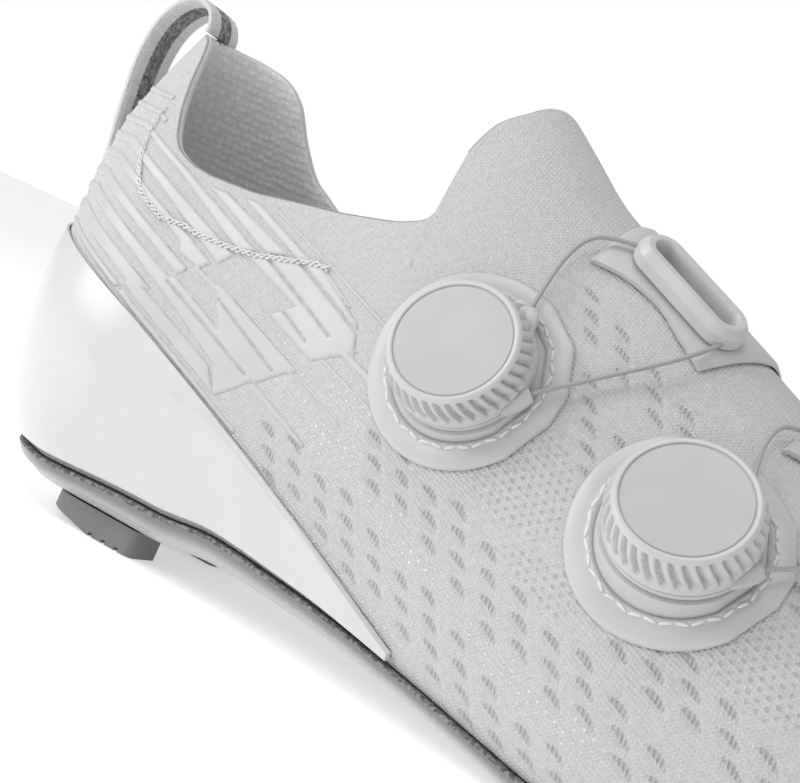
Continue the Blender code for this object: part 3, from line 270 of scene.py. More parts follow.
class LastSurface:
    """The outer surface of the upper, by run and level, as whole arrays of points."""

    def __init__(self) -> None:
        """Reads the tables as curves."""
        names = ("outer", "inner", "outer_foot", "inner_foot", "rise_power", "side_power")
        self.share = {name: SECTIONS.curve(name) for name in names}
        self.centre = SECTIONS.curve("centre", BALL_WIDTH)
        self.belly = SECTIONS.curve("belly", INSTEP_HEIGHT)
        self.ridge = SECTIONS.curve("ridge", INSTEP_HEIGHT)
        self.back = HEEL_BACK.curve("station", HEEL_TAB_HEIGHT, HEEL_TAB_HEIGHT)
        self.square = HEEL_BACK.curve("squareness", 1.0, HEEL_TAB_HEIGHT)
        self.arch = SOLE_ROWS.curve("arch", PAD_HEIGHT)
        self.spring = SOLE_ROWS.curve("spring", TOE_SPRING)
        self.rim = SOLE_ROWS.curve("rim", SOLE_THICKNESS)

    def sole_bottom(self, x: np.ndarray | float) -> np.ndarray:
        """Height of the sole's lower face."""
        return self.arch(x) + self.spring(x)

    def foot(self, x: np.ndarray | float) -> np.ndarray:
        """Height of the upper's lower edge."""
        return self.sole_bottom(x) + self.rim(x) + GAP

    def half_width(self, side: Side, x: np.ndarray | float, low: bool = False) -> np.ndarray:
        """Half width at the belly, or at the lower edge.

        Args:
            side: Outer or inner side.
            x: Stations in metres from the back of the heel.
            low: Whether it is the lower edge.

        Returns:
            Half widths in metres.
        """
        blend = smooth(HEEL_AXIS, TOE_AXIS, np.asarray(x, dtype=float))
        width = HEEL_WIDTH + (BALL_WIDTH - HEEL_WIDTH) * blend
        name = side.name.lower() + ("_foot" if low else "")
        return self.share[name](x) * width / 2

    def half_at(self, side: Side, x: np.ndarray, level: np.ndarray) -> np.ndarray:
        """Half width of the section: level -1 is the lower edge, 0 the belly, 1 the ridge.

        Args:
            side: Outer or inner side.
            x: Stations in metres from the back of the heel.
            level: Levels of the section.

        Returns:
            Half widths in metres.
        """
        wide = self.half_width(side, x)
        low = self.half_width(side, x, low=True)
        under = np.minimum(level, 0.0)
        drop = (1 - np.cos(-under * TUCK_SWEEP)) / (1 - math.cos(TUCK_SWEEP))
        over = power(np.cos(np.maximum(level, 0.0) * np.pi / 2), 2 / self.share["side_power"](x))
        return np.where(level < 0, wide + (low - wide) * drop, wide * over)

    def height_at(self, x: np.ndarray, level: np.ndarray) -> np.ndarray:
        """Height of the section at a level.

        Args:
            x: Stations in metres from the back of the heel.
            level: Levels of the section.

        Returns:
            Heights in metres.
        """
        belly = self.belly(x)
        under = np.sin(-np.minimum(level, 0.0) * TUCK_SWEEP) / math.sin(TUCK_SWEEP)
        over = power(np.sin(np.maximum(level, 0.0) * np.pi / 2), 2 / self.share["rise_power"](x))
        return np.where(
            level < 0, belly - (belly - self.foot(x)) * under, belly + (self.ridge(x) - belly) * over
        )

    def level_of(self, x: np.ndarray, height: np.ndarray) -> np.ndarray:
        """The level above the belly whose height is given.

        Args:
            x: Stations in metres from the back of the heel.
            height: Heights in metres.

        Returns:
            Levels from 0 to 1.
        """
        belly = self.belly(x)
        share = np.clip((height - belly) / (self.ridge(x) - belly), 0.0, 1.0)
        return np.arcsin(power(share, self.share["rise_power"](x) / 2)) * 2 / np.pi

    def point(self, side: Side, run: np.ndarray | float, level: np.ndarray | float) -> np.ndarray:
        """Points of the surface in the shoe's frame.

        Args:
            side: Outer or inner side.
            run: From -1 to 0 round the heel, 0 to 1 along, 1 to 2 round the toe.
            level: From -1 at the lower edge to 1 at the ridge.

        Returns:
            The points, with X, Y and Z in the last axis.
        """
        run, level = np.broadcast_arrays(np.asarray(run, float), np.asarray(level, float))
        axis = np.full(run.shape, HEEL_AXIS)
        turn = np.maximum(-run, 0.0) * np.pi / 2
        height = self.height_at(axis, level)
        bend = 2 / self.square(height)
        heel_x = HEEL_AXIS - (HEEL_AXIS - self.back(height)) * power(np.sin(turn), bend)
        heel_half = self.half_at(side, axis, level) * power(np.cos(turn), bend)
        under = np.sin(-np.minimum(level, 0.0) * TUCK_SWEEP) / math.sin(TUCK_SWEEP)
        heel_z = height + (self.foot(heel_x) - self.foot(HEEL_AXIS)) * under
        x = HEEL_AXIS + np.clip(run, 0.0, 1.0) * (TOE_AXIS - HEEL_AXIS)
        half = self.half_at(side, x, level)
        z = self.height_at(x, level)
        sweep = np.maximum(run - 1, 0.0) * np.pi / 2
        share = half / self.half_width(side, x)
        toe_x = x + (SHOE_LENGTH - TOE_AXIS) * share * np.sin(sweep)
        rear = run < 0
        made_x = np.where(rear, heel_x, toe_x)
        made_z = np.where(rear, heel_z, np.where(run > 1, self.height_at(toe_x, level), z))
        y = np.where(rear, heel_half, half * np.cos(sweep)) * side.value + self.centre(
            np.where(rear, HEEL_AXIS, toe_x)
        )
        return np.stack([made_x - FLAT_SPOT, y, made_z], axis=-1)

    def normal(self, side: Side, run: np.ndarray, level: np.ndarray) -> np.ndarray:
        """Outward normals of the surface.

        Args:
            side: Outer or inner side.
            run: Runs of the points.
            level: Levels of the points.

        Returns:
            Unit vectors.
        """
        step = 0.01
        run, level = np.broadcast_arrays(np.asarray(run, float), np.asarray(level, float))
        flat = np.where((run > 1) & (level > 1 - 2 * step), 1.0, run)
        along = self.point(side, flat + step, level) - self.point(side, flat - step, level)
        other = Side(-side.value)
        near_top = level > 1 - 2 * step
        crest = np.full(run.shape, 1 - 2 * step)
        over = self.point(other, flat, crest) - self.point(side, flat, crest)
        up = self.point(side, flat, level + step) - self.point(side, flat, level - step)
        up = np.where(near_top[..., None], over, up)
        made = np.cross(along, up) * -side.value
        return made / np.maximum(np.linalg.norm(made, axis=-1, keepdims=True), 1e-12)

    def offset(
        self, side: Side, run: np.ndarray, level: np.ndarray, distance: np.ndarray | float
    ) -> np.ndarray:
        """Points over the surface by a distance."""
        lift = np.broadcast_to(distance, np.broadcast(run, level).shape)[..., None]
        return self.point(side, run, level) + self.normal(side, run, level) * lift


LAST = LastSurface()


class Unrolled:
    """One side of the upper laid flat: stations along, girth heights up, both in metres."""

    station_step = 0.0005
    levels = np.linspace(-1.0, 1.0, 161)
    arc_level = 0.35

    def __init__(self, side: Side) -> None:
        """Measures the girth up the side at many stations.

        Args:
            side: The side that is laid flat.
        """
        self.side = side
        turns = np.linspace(0.0, 1.0, 500)
        line = LAST.point(side, -turns, np.full(turns.shape, self.arc_level))
        arc = np.concatenate([[0.0], np.cumsum(np.linalg.norm(np.diff(line, axis=0), axis=1))])
        self.rear = HEEL_AXIS - arc[-1]
        self.stations = np.arange(self.rear, TOE_AXIS, self.station_step)
        behind = -np.interp(HEEL_AXIS - self.stations, arc, turns)
        self.runs = np.where(self.stations < HEEL_AXIS, behind, run_of(self.stations))
        grid = LAST.point(side, self.runs[:, None], self.levels[None, :])
        girth = np.linalg.norm(np.diff(grid, axis=1), axis=2)
        heights = np.concatenate([np.zeros((len(girth), 1)), np.cumsum(girth, axis=1)], axis=1)
        middle = len(self.levels) // 2
        belly = LAST.belly(np.maximum(self.stations, HEEL_AXIS))
        self.heights = heights - heights[:, middle : middle + 1] + belly[:, None]

    def place(self, station: np.ndarray, height: np.ndarray) -> tuple[np.ndarray, np.ndarray]:
        """Run and level of flat places.

        Args:
            station: Stations in metres.
            height: Girth heights in metres.

        Returns:
            Run and level of each place.
        """
        spot = (np.asarray(station) - self.rear) / self.station_step
        low = np.clip(spot.astype(int), 0, len(self.stations) - 2)
        part = np.clip(spot - low, 0.0, 1.0)
        run = self.runs[low] * (1 - part) + self.runs[low + 1] * part
        level = np.empty(spot.shape)
        flat_low, flat_height, flat_level = low.ravel(), np.asarray(height).ravel(), level.ravel()
        for row in np.unique(flat_low):
            chosen = flat_low == row
            flat_level[chosen] = np.interp(flat_height[chosen], self.heights[row], self.levels)
        return run, flat_level.reshape(spot.shape)

    def offset(self, station: np.ndarray, height: np.ndarray, lift: np.ndarray) -> np.ndarray:
        """Points over the surface at flat places."""
        run, level = self.place(station, height)
        return LAST.offset(self.side, run, level, lift)

    def flat_of(self, run: np.ndarray, level: np.ndarray) -> tuple[np.ndarray, np.ndarray]:
        """Flat places of runs and levels, where the toe opens out as a fan.

        Args:
            run: Runs of the points.
            level: Levels of the points.

        Returns:
            Station and girth height of each point.
        """
        inner = np.interp(np.minimum(run, 1.0), self.runs, self.stations)
        spot = (inner - self.rear) / self.station_step
        low = np.clip(spot.astype(int), 0, len(self.stations) - 1)
        place = (np.clip(level, -1.0, 1.0) + 1) / 2 * (len(self.levels) - 1)
        left = np.clip(place.astype(int), 0, len(self.levels) - 2)
        part = place - left
        height = self.heights[low, left] * (1 - part) + self.heights[low, left + 1] * part
        crown = self.heights[-1, -1]
        sweep = np.maximum(run - 1, 0.0) * np.pi / 2
        reach = crown - height
        station = np.where(run > 1, TOE_AXIS + reach * np.sin(sweep), inner)
        return station, np.where(run > 1, crown - reach * np.cos(sweep), height)


FLAT = {side: Unrolled(side) for side in Side}


class Shade:
    """Writes one material's nodes round its Principled shader."""

    def __init__(self, name: str, colour: Sequence[float], roughness: float) -> None:
        """Makes the material with its plain values set on the shader's own sockets.

        Args:
            name: Name of the material.
            colour: Base colour.
            roughness: Roughness all over.
        """
        self.material = bpy.data.materials.new(name)
        self.material.use_nodes = True
        self.material.diffuse_color = (*colour, 1.0)
        self.tree = self.material.node_tree
        self.shader = self.tree.nodes["Principled BSDF"]
        self.put(base_color=(*colour, 1.0), roughness=roughness)

    def put(self, **values: object) -> None:
        """Sets sockets of the shader by their names in small letters."""
        for word, value in values.items():
            self.shader.inputs[word.replace("_", " ").title().replace("Ior", "IOR")].default_value = value

    def node(self, kind: str, **values: object) -> bpy.types.Node:
        """Adds a node with its settings.

        Args:
            kind: Blender's name of the node.
            values: Settings of the node.

        Returns:
            The node.
        """
        made = self.tree.nodes.new(kind)
        for word, value in values.items():
            setattr(made, word, value)
        return made

    def link(self, value: object, socket: bpy.types.NodeSocket) -> None:
        """Feeds a socket from another, or sets it to a value.

        Args:
            value: A socket, or a value.
            socket: The socket that is fed.
        """
        if isinstance(value, bpy.types.NodeSocket):
            self.tree.links.new(value, socket)
        else:
            socket.default_value = value

    def math(self, operation: str, *values: object) -> bpy.types.NodeSocket:
        """The result of one sum on sockets or numbers.

        Args:
            operation: Blender's name of the sum.
            values: Sockets or numbers.

        Returns:
            The result's socket.
        """
        made = self.node("ShaderNodeMath", operation=operation)
        for value, socket in zip(values, made.inputs):
            self.link(value, socket)
        return made.outputs[0]

    def times(self, first: object, second: object) -> bpy.types.NodeSocket:
        """One socket or number times another."""
        return self.math("MULTIPLY", first, second)

    def plus(self, first: object, second: object) -> bpy.types.NodeSocket:
        """One socket or number and another together."""
        return self.math("ADD", first, second)

    def minus(self, first: object, second: object) -> bpy.types.NodeSocket:
        """One socket or number less another."""
        return self.math("SUBTRACT", first, second)

    def scaled(self, value: object, factor: object, added: object) -> bpy.types.NodeSocket:
        """A value times a factor, with something added."""
        return self.math("MULTIPLY_ADD", value, factor, added)

    def split(self, vector: object) -> tuple[bpy.types.NodeSocket, bpy.types.NodeSocket]:
        """The first two coordinates of a vector.

        Args:
            vector: The vector's socket.

        Returns:
            Sockets of the two coordinates.
        """
        made = self.node("ShaderNodeSeparateXYZ")
        self.link(vector, made.inputs[0])
        return made.outputs[0], made.outputs[1]

    def position(self) -> bpy.types.NodeSocket:
        """Place on the object, in metres."""
        return self.node("ShaderNodeTexCoord").outputs["Object"]

    def flat(self) -> tuple[bpy.types.NodeSocket, bpy.types.NodeSocket]:
        """The two unrolled coordinates, in metres."""
        return self.split(self.node("ShaderNodeUVMap", uv_map=FLAT_MAP).outputs[0])

    def attribute(self, name: str) -> bpy.types.NodeSocket:
        """A value kept at each corner of the mesh."""
        return self.node("ShaderNodeAttribute", attribute_name=name).outputs["Fac"]

    def noise(self, vector: object, size: float, detail: float = 2.0) -> bpy.types.NodeSocket:
        """Soft noise whose blots are about a size across.

        Args:
            vector: Places.
            size: Size in metres.
            detail: How much finer noise is in it.

        Returns:
            The noise.
        """
        made = self.node("ShaderNodeTexNoise")
        self.link(vector, made.inputs["Vector"])
        made.inputs["Scale"].default_value = 1.0 / size
        made.inputs["Detail"].default_value = detail
        return made.outputs["Fac"]

    def cells(self, vector: object, size: float, jitter: float = 1.0) -> bpy.types.NodeSocket:
        """Distance to the nearest of scattered points that are about a size apart.

        Args:
            vector: Places.
            size: Size in metres.
            jitter: How far points are scattered.

        Returns:
            The distance.
        """
        made = self.node("ShaderNodeTexVoronoi")
        self.link(vector, made.inputs["Vector"])
        made.inputs["Scale"].default_value = 1.0 / size
        made.inputs["Randomness"].default_value = jitter
        return made.outputs["Distance"]

    def step(self, value: object, low: float, high: float) -> bpy.types.NodeSocket:
        """A soft step of a value between two places, falling where high is under low.

        Args:
            value: The value.
            low: Where the step is nought.
            high: Where it is one.

        Returns:
            The step.
        """
        made = self.node("ShaderNodeMapRange", interpolation_type="SMOOTHSTEP")
        self.link(value, made.inputs["Value"])
        rising = high > low
        made.inputs["From Min"].default_value = low if rising else high
        made.inputs["From Max"].default_value = high if rising else low
        made.inputs["To Min"].default_value = 0.0 if rising else 1.0
        made.inputs["To Max"].default_value = 1.0 if rising else 0.0
        return made.outputs["Result"]

    def wave(self, value: object, pitch: float, shift: object = 0.0) -> bpy.types.NodeSocket:
        """A sine from nought to one along a coordinate, with a pitch in metres."""
        angle = self.scaled(value, 2 * math.pi / pitch, shift)
        return self.scaled(self.math("SINE", angle), 0.5, 0.5)

    def mix(self, share: object, first: object, second: object) -> bpy.types.NodeSocket:
        """A blend of two colours.

        Args:
            share: Share of the second.
            first: First colour.
            second: Second colour.

        Returns:
            The blend.
        """
        made = self.node("ShaderNodeMix", data_type="RGBA")
        self.link(share, made.inputs[0])
        for value, socket in zip((first, second), (made.inputs[6], made.inputs[7])):
            self.link(value if isinstance(value, bpy.types.NodeSocket) else (*value, 1.0), socket)
        return made.outputs[2]

    def paint(self, colour: bpy.types.NodeSocket) -> None:
        """Feeds the base colour."""
        self.tree.links.new(colour, self.shader.inputs["Base Color"])

    def gloss(self, low: float, high: float, share: bpy.types.NodeSocket) -> None:
        """Feeds the roughness between two values."""
        level = self.scaled(share, high - low, low)
        self.tree.links.new(level, self.shader.inputs["Roughness"])

    def relief(self, height: bpy.types.NodeSocket, depth: float, strength: float = 1.0) -> None:
        """Adds a bump of a real depth over what is there.

        Args:
            height: The height.
            depth: Depth in metres.
            strength: Share of the bump that shows.
        """
        bump = self.node("ShaderNodeBump")
        bump.inputs["Distance"].default_value = depth
        bump.inputs["Strength"].default_value = strength
        self.link(height, bump.inputs["Height"])
        before = self.shader.inputs["Normal"].links
        if before:
            self.tree.links.new(before[0].from_socket, bump.inputs["Normal"])
        self.tree.links.new(bump.outputs[0], self.shader.inputs["Normal"])


FLAT_MAP = "flat"

# The slits' lattice on the flat side, in millimetres along and across the strips
SLIT_FIRST, SLIT_SECOND = np.array((10.0, -1.05)), np.array((3.5, -3.2))
SLIT_ANCHOR = np.array((94.5, 77.0))
SLIT_LEAN = 0.12


@dataclass(frozen=True)
class Knit:
    """Matte knit: wales of small stitches, slits and a mesh between the dials whose holes are painted dark as
    shade, and bright nubs.
    """

    wale_pitch: float = 0.00086
    stitch_pitch: float = 0.00080
    nub_pitch: float = 0.0023
    nub_rise: float = 0.00156
    mesh_across: float = 0.00150
    mesh_along: float = 0.0021
    hole_pitch: float = 1.05
    slit_length: float = 2.8
    slit_width: float = 0.72
    slit_bend: float = 0.07
    wale_wander: float = 0.0011
    stitch_wander: float = 0.00035
    loop_depth: float = 0.00036

    def slits(self, shade: Shade) -> tuple[bpy.types.NodeSocket, bpy.types.NodeSocket, bpy.types.NodeSocket]:
        """Works out each place's nearest slit on the unrolled side.

        Args:
            shade: The knit's node writer.

        Returns:
            The slit's depth, the row of small holes in it, and how far it spreads the wales.
        """
        s, t = (shade.math("DIVIDE", way, MM) for way in shade.flat())
        ds = shade.minus(s, float(SLIT_ANCHOR[0]))
        dt = shade.minus(t, float(SLIT_ANCHOR[1]))
        turned = np.linalg.inv(np.stack([SLIT_FIRST, SLIT_SECOND], axis=1))
        shares = []
        for row in turned:
            value = shade.plus(shade.times(ds, float(row[0])), shade.times(dt, float(row[1])))
            shares.append(shade.minus(value, shade.math("ROUND", value)))
        along, across = (
            shade.plus(
                shade.times(shares[0], float(SLIT_FIRST[i])), shade.times(shares[1], float(SLIT_SECOND[i]))
            )
            for i in range(2)
        )
        lean = shade.scaled(along, SLIT_LEAN, across)
        lean = shade.scaled(shade.times(along, along), self.slit_bend, lean)
        long = shade.math("POWER", shade.math("ABSOLUTE", shade.math("DIVIDE", along, self.slit_length)), 2.0)
        wide = shade.math("POWER", shade.math("ABSOLUTE", shade.math("DIVIDE", lean, self.slit_width)), 2.0)
        shape = shade.math("SQRT", shade.plus(long, wide))
        room = shade.step(shade.attribute("slit_room"), 0.35, 0.65)
        depth = shade.times(shade.step(shape, 1.25, 0.45), room)
        ladder = shade.scaled(lean, 0.55, along)
        holes = shade.step(shade.wave(ladder, self.hole_pitch), 0.25, 0.9)
        spread = shade.times(shade.times(lean, 0.34 * MM), shade.step(shape, 3.2, 0.3))
        return depth, holes, shade.times(spread, room)

    def make(self) -> bpy.types.Material:
        """Builds the knit's material."""
        shade = Shade("knit", (0.62, 0.62, 0.63), 0.82)
        along, up = shade.flat()
        slit, holes, spread = self.slits(shade)
        wobble = shade.scaled(shade.noise(shade.position(), 0.012), self.wale_wander, up)
        wobble = shade.minus(wobble, spread)
        rag = shade.times(shade.noise(shade.position(), 0.0012), self.stitch_wander)
        wale = shade.wave(shade.plus(wobble, rag), self.wale_pitch)
        row = shade.math("FLOOR", shade.math("DIVIDE", wobble, self.wale_pitch))
        lean = shade.scaled(row, 2.4, shade.times(wale, 2.2))
        stitch = shade.wave(shade.plus(along, rag), self.stitch_pitch, lean)
        loops = shade.times(shade.scaled(wale, 0.6, 0.4), shade.scaled(stitch, 0.6, 0.4))
        dark = shade.times(slit, shade.scaled(holes, 0.55, 0.45))
        mesh_row = shade.math("FLOOR", shade.math("DIVIDE", up, self.mesh_across))
        dash = shade.wave(along, self.mesh_along, shade.times(mesh_row, math.pi))
        gap = shade.wave(up, self.mesh_across)
        dashes = shade.step(shade.times(dash, gap), 0.32, 0.85)
        mesh = shade.times(dashes, shade.attribute("mesh"))
        pits = shade.math("MAXIMUM", dark, shade.times(mesh, 0.55))
        nub_row = shade.math("FLOOR", shade.math("DIVIDE", up, self.nub_rise))
        beads = shade.wave(along, self.nub_pitch, shade.times(nub_row, math.pi))
        nub = shade.step(shade.times(beads, shade.wave(up, self.nub_rise)), 0.72, 0.93)
        odd = shade.step(shade.noise(shade.position(), 0.0035), 0.42, 0.55)
        nub = shade.times(nub, shade.scaled(odd, 0.8, 0.2))
        nubs = shade.times(nub, shade.attribute("nub"))
        tone = shade.mix(shade.math("POWER", loops, 0.7), (0.41, 0.41, 0.415), (0.72, 0.72, 0.725))
        blots = shade.step(shade.noise(shade.position(), 0.0011, 3.0), 0.25, 0.75)
        tone = shade.mix(0.22, tone, shade.mix(blots, (0.48, 0.48, 0.485), (0.74, 0.74, 0.745)))
        # Painted shade: the slits' holes and the mesh openings are painted dark grey, standing in for the
        # shade inside holes that the mesh only dents.
        tone = shade.mix(pits, tone, (0.40, 0.40, 0.405))
        shade.paint(shade.mix(nubs, tone, (0.95, 0.95, 0.95)))
        height = shade.minus(shade.plus(loops, nubs), shade.times(pits, 1.1))
        shade.relief(height, self.loop_depth, 0.8)
        shade.relief(blots, 0.00008, 0.6)
        shade.put(sheen_weight=0.25, sheen_roughness=0.5)
        return shade.material


@dataclass(frozen=True)
class Smooth:
    """A moulded or coated finish with a faint grain and soft tone changes."""

    name: str
    colour: tuple[float, float, float]
    roughness: float
    grain_size: float = 0.0006
    grain_depth: float = 0.00002
    tone: float = 0.05
    coat: float = 0.0
    metallic: float = 0.0

    def make(self) -> bpy.types.Material:
        """Builds the finish's material."""
        shade = Shade(self.name, self.colour, self.roughness)
        blots = shade.noise(shade.position(), 0.011, 3.0)
        low = tuple(c * (1 - self.tone) for c in self.colour)
        high = tuple(min(c * (1 + self.tone), 1.0) for c in self.colour)
        shade.paint(shade.mix(shade.step(blots, 0.3, 0.7), low, high))
        grain = shade.noise(shade.position(), self.grain_size, 2.0)
        shade.gloss(self.roughness * 0.88, self.roughness * 1.15, grain)
        shade.relief(grain, self.grain_depth, 0.6)
        shade.put(coat_weight=self.coat, coat_roughness=0.28, metallic=self.metallic)
        return shade.material


@dataclass(frozen=True)
class SoleEdge:
    """The sole's silver band under a dark mottled rim, by the height share kept on the mesh, with painted
    shading that darkens the band toward its top.
    """

    weave_pitch: float = 0.0021
    rim_start: float = 0.80
    rim_full: float = 0.88

    def make(self) -> bpy.types.Material:
        """Builds the sole's material."""
        shade = Shade("sole_plate", (0.42, 0.43, 0.44), 0.2)
        share = shade.attribute("band")
        mottle = shade.step(shade.noise(shade.position(), 0.0009, 3.0), 0.35, 0.7)
        dark = shade.mix(mottle, (0.06, 0.06, 0.065), (0.28, 0.28, 0.29))
        # Painted shading: the silver is darker toward the band's top and lighter toward its bottom, a
        # gradient of light painted into the colour.
        silver = shade.mix(shade.step(share, 0.30, 0.78), (0.46, 0.47, 0.48), (0.20, 0.205, 0.21))
        weave = shade.wave(shade.plus(*shade.split(shade.position())), self.weave_pitch)
        silver = shade.mix(shade.times(weave, 0.08), silver, (0.25, 0.25, 0.26))
        shade.paint(shade.mix(shade.step(share, self.rim_start, self.rim_full), silver, dark))
        shade.relief(mottle, 0.00006, 0.5)
        shade.gloss(0.22, 0.60, shade.step(share, self.rim_start, self.rim_full))
        shade.put(coat_weight=0.15, coat_roughness=0.2)
        return shade.material


@dataclass(frozen=True)
class Lining:
    """The grey lining: a fine mesh over an even pattern of bumps."""

    bump_pitch: float = 0.0017
    mesh_pitch: float = 0.0007

    def make(self) -> bpy.types.Material:
        """Builds the lining's material."""
        shade = Shade("lining", (0.70, 0.70, 0.71), 0.9)
        spots = shade.cells(shade.position(), self.bump_pitch, 0.35)
        fine = shade.cells(shade.position(), self.mesh_pitch, 0.3)
        tone = shade.mix(shade.step(spots, 0.15, 0.6), (0.93, 0.93, 0.935), (0.80, 0.80, 0.805))
        holes = shade.times(shade.step(fine, 0.2, 0.6), 0.35)
        shade.paint(shade.mix(holes, tone, (0.70, 0.70, 0.705)))
        shade.relief(spots, -0.0004, 0.7)
        shade.relief(fine, -0.0001, 0.6)
        shade.put(sheen_weight=0.2)
        return shade.material


@dataclass(frozen=True)
class Tape:
    """Woven tape with light borders and a mottled grey stripe, by the share across it."""

    weave_pitch: float = 0.0007
    mottle_size: float = 0.0011

    def make(self) -> bpy.types.Material:
        """Builds the tape's material."""
        shade = Shade("tape", (0.75, 0.75, 0.76), 0.8)
        across = shade.attribute("across")
        weave = shade.cells(shade.position(), self.weave_pitch, 0.25)
        mottle = shade.step(shade.noise(shade.position(), self.mottle_size, 3.0), 0.3, 0.7)
        stripe = shade.mix(mottle, (0.06, 0.06, 0.065), (0.30, 0.30, 0.31))
        light = shade.mix(shade.step(weave, 0.1, 0.6), (0.80, 0.80, 0.81), (0.62, 0.62, 0.63))
        shade.paint(shade.mix(shade.step(across, 0.42, 0.34), light, stripe))
        shade.relief(weave, -0.00018, 0.8)
        shade.put(sheen_weight=0.2)
        return shade.material


@dataclass(frozen=True)
class Foam:
    """Fabric top of the insole with a twill."""

    twill_pitch: float = 0.0014
    thread_pitch: float = 0.0007

    def make(self) -> bpy.types.Material:
        """Builds the insole's material."""
        shade = Shade("foam", (0.42, 0.42, 0.43), 0.92)
        ahead, inward = shade.split(shade.position())
        twill = shade.wave(shade.plus(ahead, inward), self.twill_pitch)
        thread = shade.wave(inward, self.thread_pitch)
        weave = shade.times(twill, thread)
        shade.paint(shade.mix(weave, (0.30, 0.30, 0.31), (0.50, 0.50, 0.51)))
        shade.relief(weave, 0.00015, 0.8)
        return shade.material


@dataclass(frozen=True)
class Cord:
    """Coated lace with a fine twisted braid, by the share along and round it."""

    pitch: float = 0.0007

    def make(self) -> bpy.types.Material:
        """Builds the lace's material."""
        shade = Shade("lace", (0.37, 0.37, 0.375), 0.35)
        along, around = shade.flat()
        twist = shade.wave(shade.plus(along, around), self.pitch)
        other = shade.wave(shade.minus(along, around), self.pitch)
        braid = shade.math("MAXIMUM", twist, other)
        shade.paint(shade.mix(braid, (0.33, 0.33, 0.335), (0.41, 0.41, 0.415)))
        shade.relief(braid, 0.00004, 0.5)
        return shade.material


class Finishes:
    """The shoe's finishes, each made once."""

    def __init__(self) -> None:
        """Makes every material."""
        self.knit = Knit().make()
        self.lining = Lining().make()
        self.shell = Smooth("gloss_shell", (0.64, 0.64, 0.65), 0.27, 0.02, 0.00008, 0.02, 0.5).make()
        self.sole = SoleEdge().make()
        self.rubber = Smooth("pad_rubber", (0.19, 0.19, 0.195), 0.6, 0.0005, 0.00006, 0.12).make()
        self.foam = Foam().make()
        self.film = Smooth("film", (0.555, 0.555, 0.56), 0.34, 0.0009, 0.00002, 0.03).make()
        self.dial = Smooth("dial_plastic", (0.57, 0.57, 0.58), 0.34, 0.0004, 0.00002, 0.04, 0.15).make()
        self.cap = Smooth("dial_cap", (0.49, 0.49, 0.50), 0.48, 0.00035, 0.00003, 0.03).make()
        self.thread = Smooth("white_thread", (0.74, 0.74, 0.745), 0.6, 0.0003, 0.00004, 0.05).make()
        # Near black: painted shade inside the ports' mouths.
        self.dark = Smooth("dark_inside", (0.03, 0.03, 0.032), 0.6, 0.0005, 0.00003, 0.2).make()
        self.cord = Cord().make()
        self.tape = Tape().make()


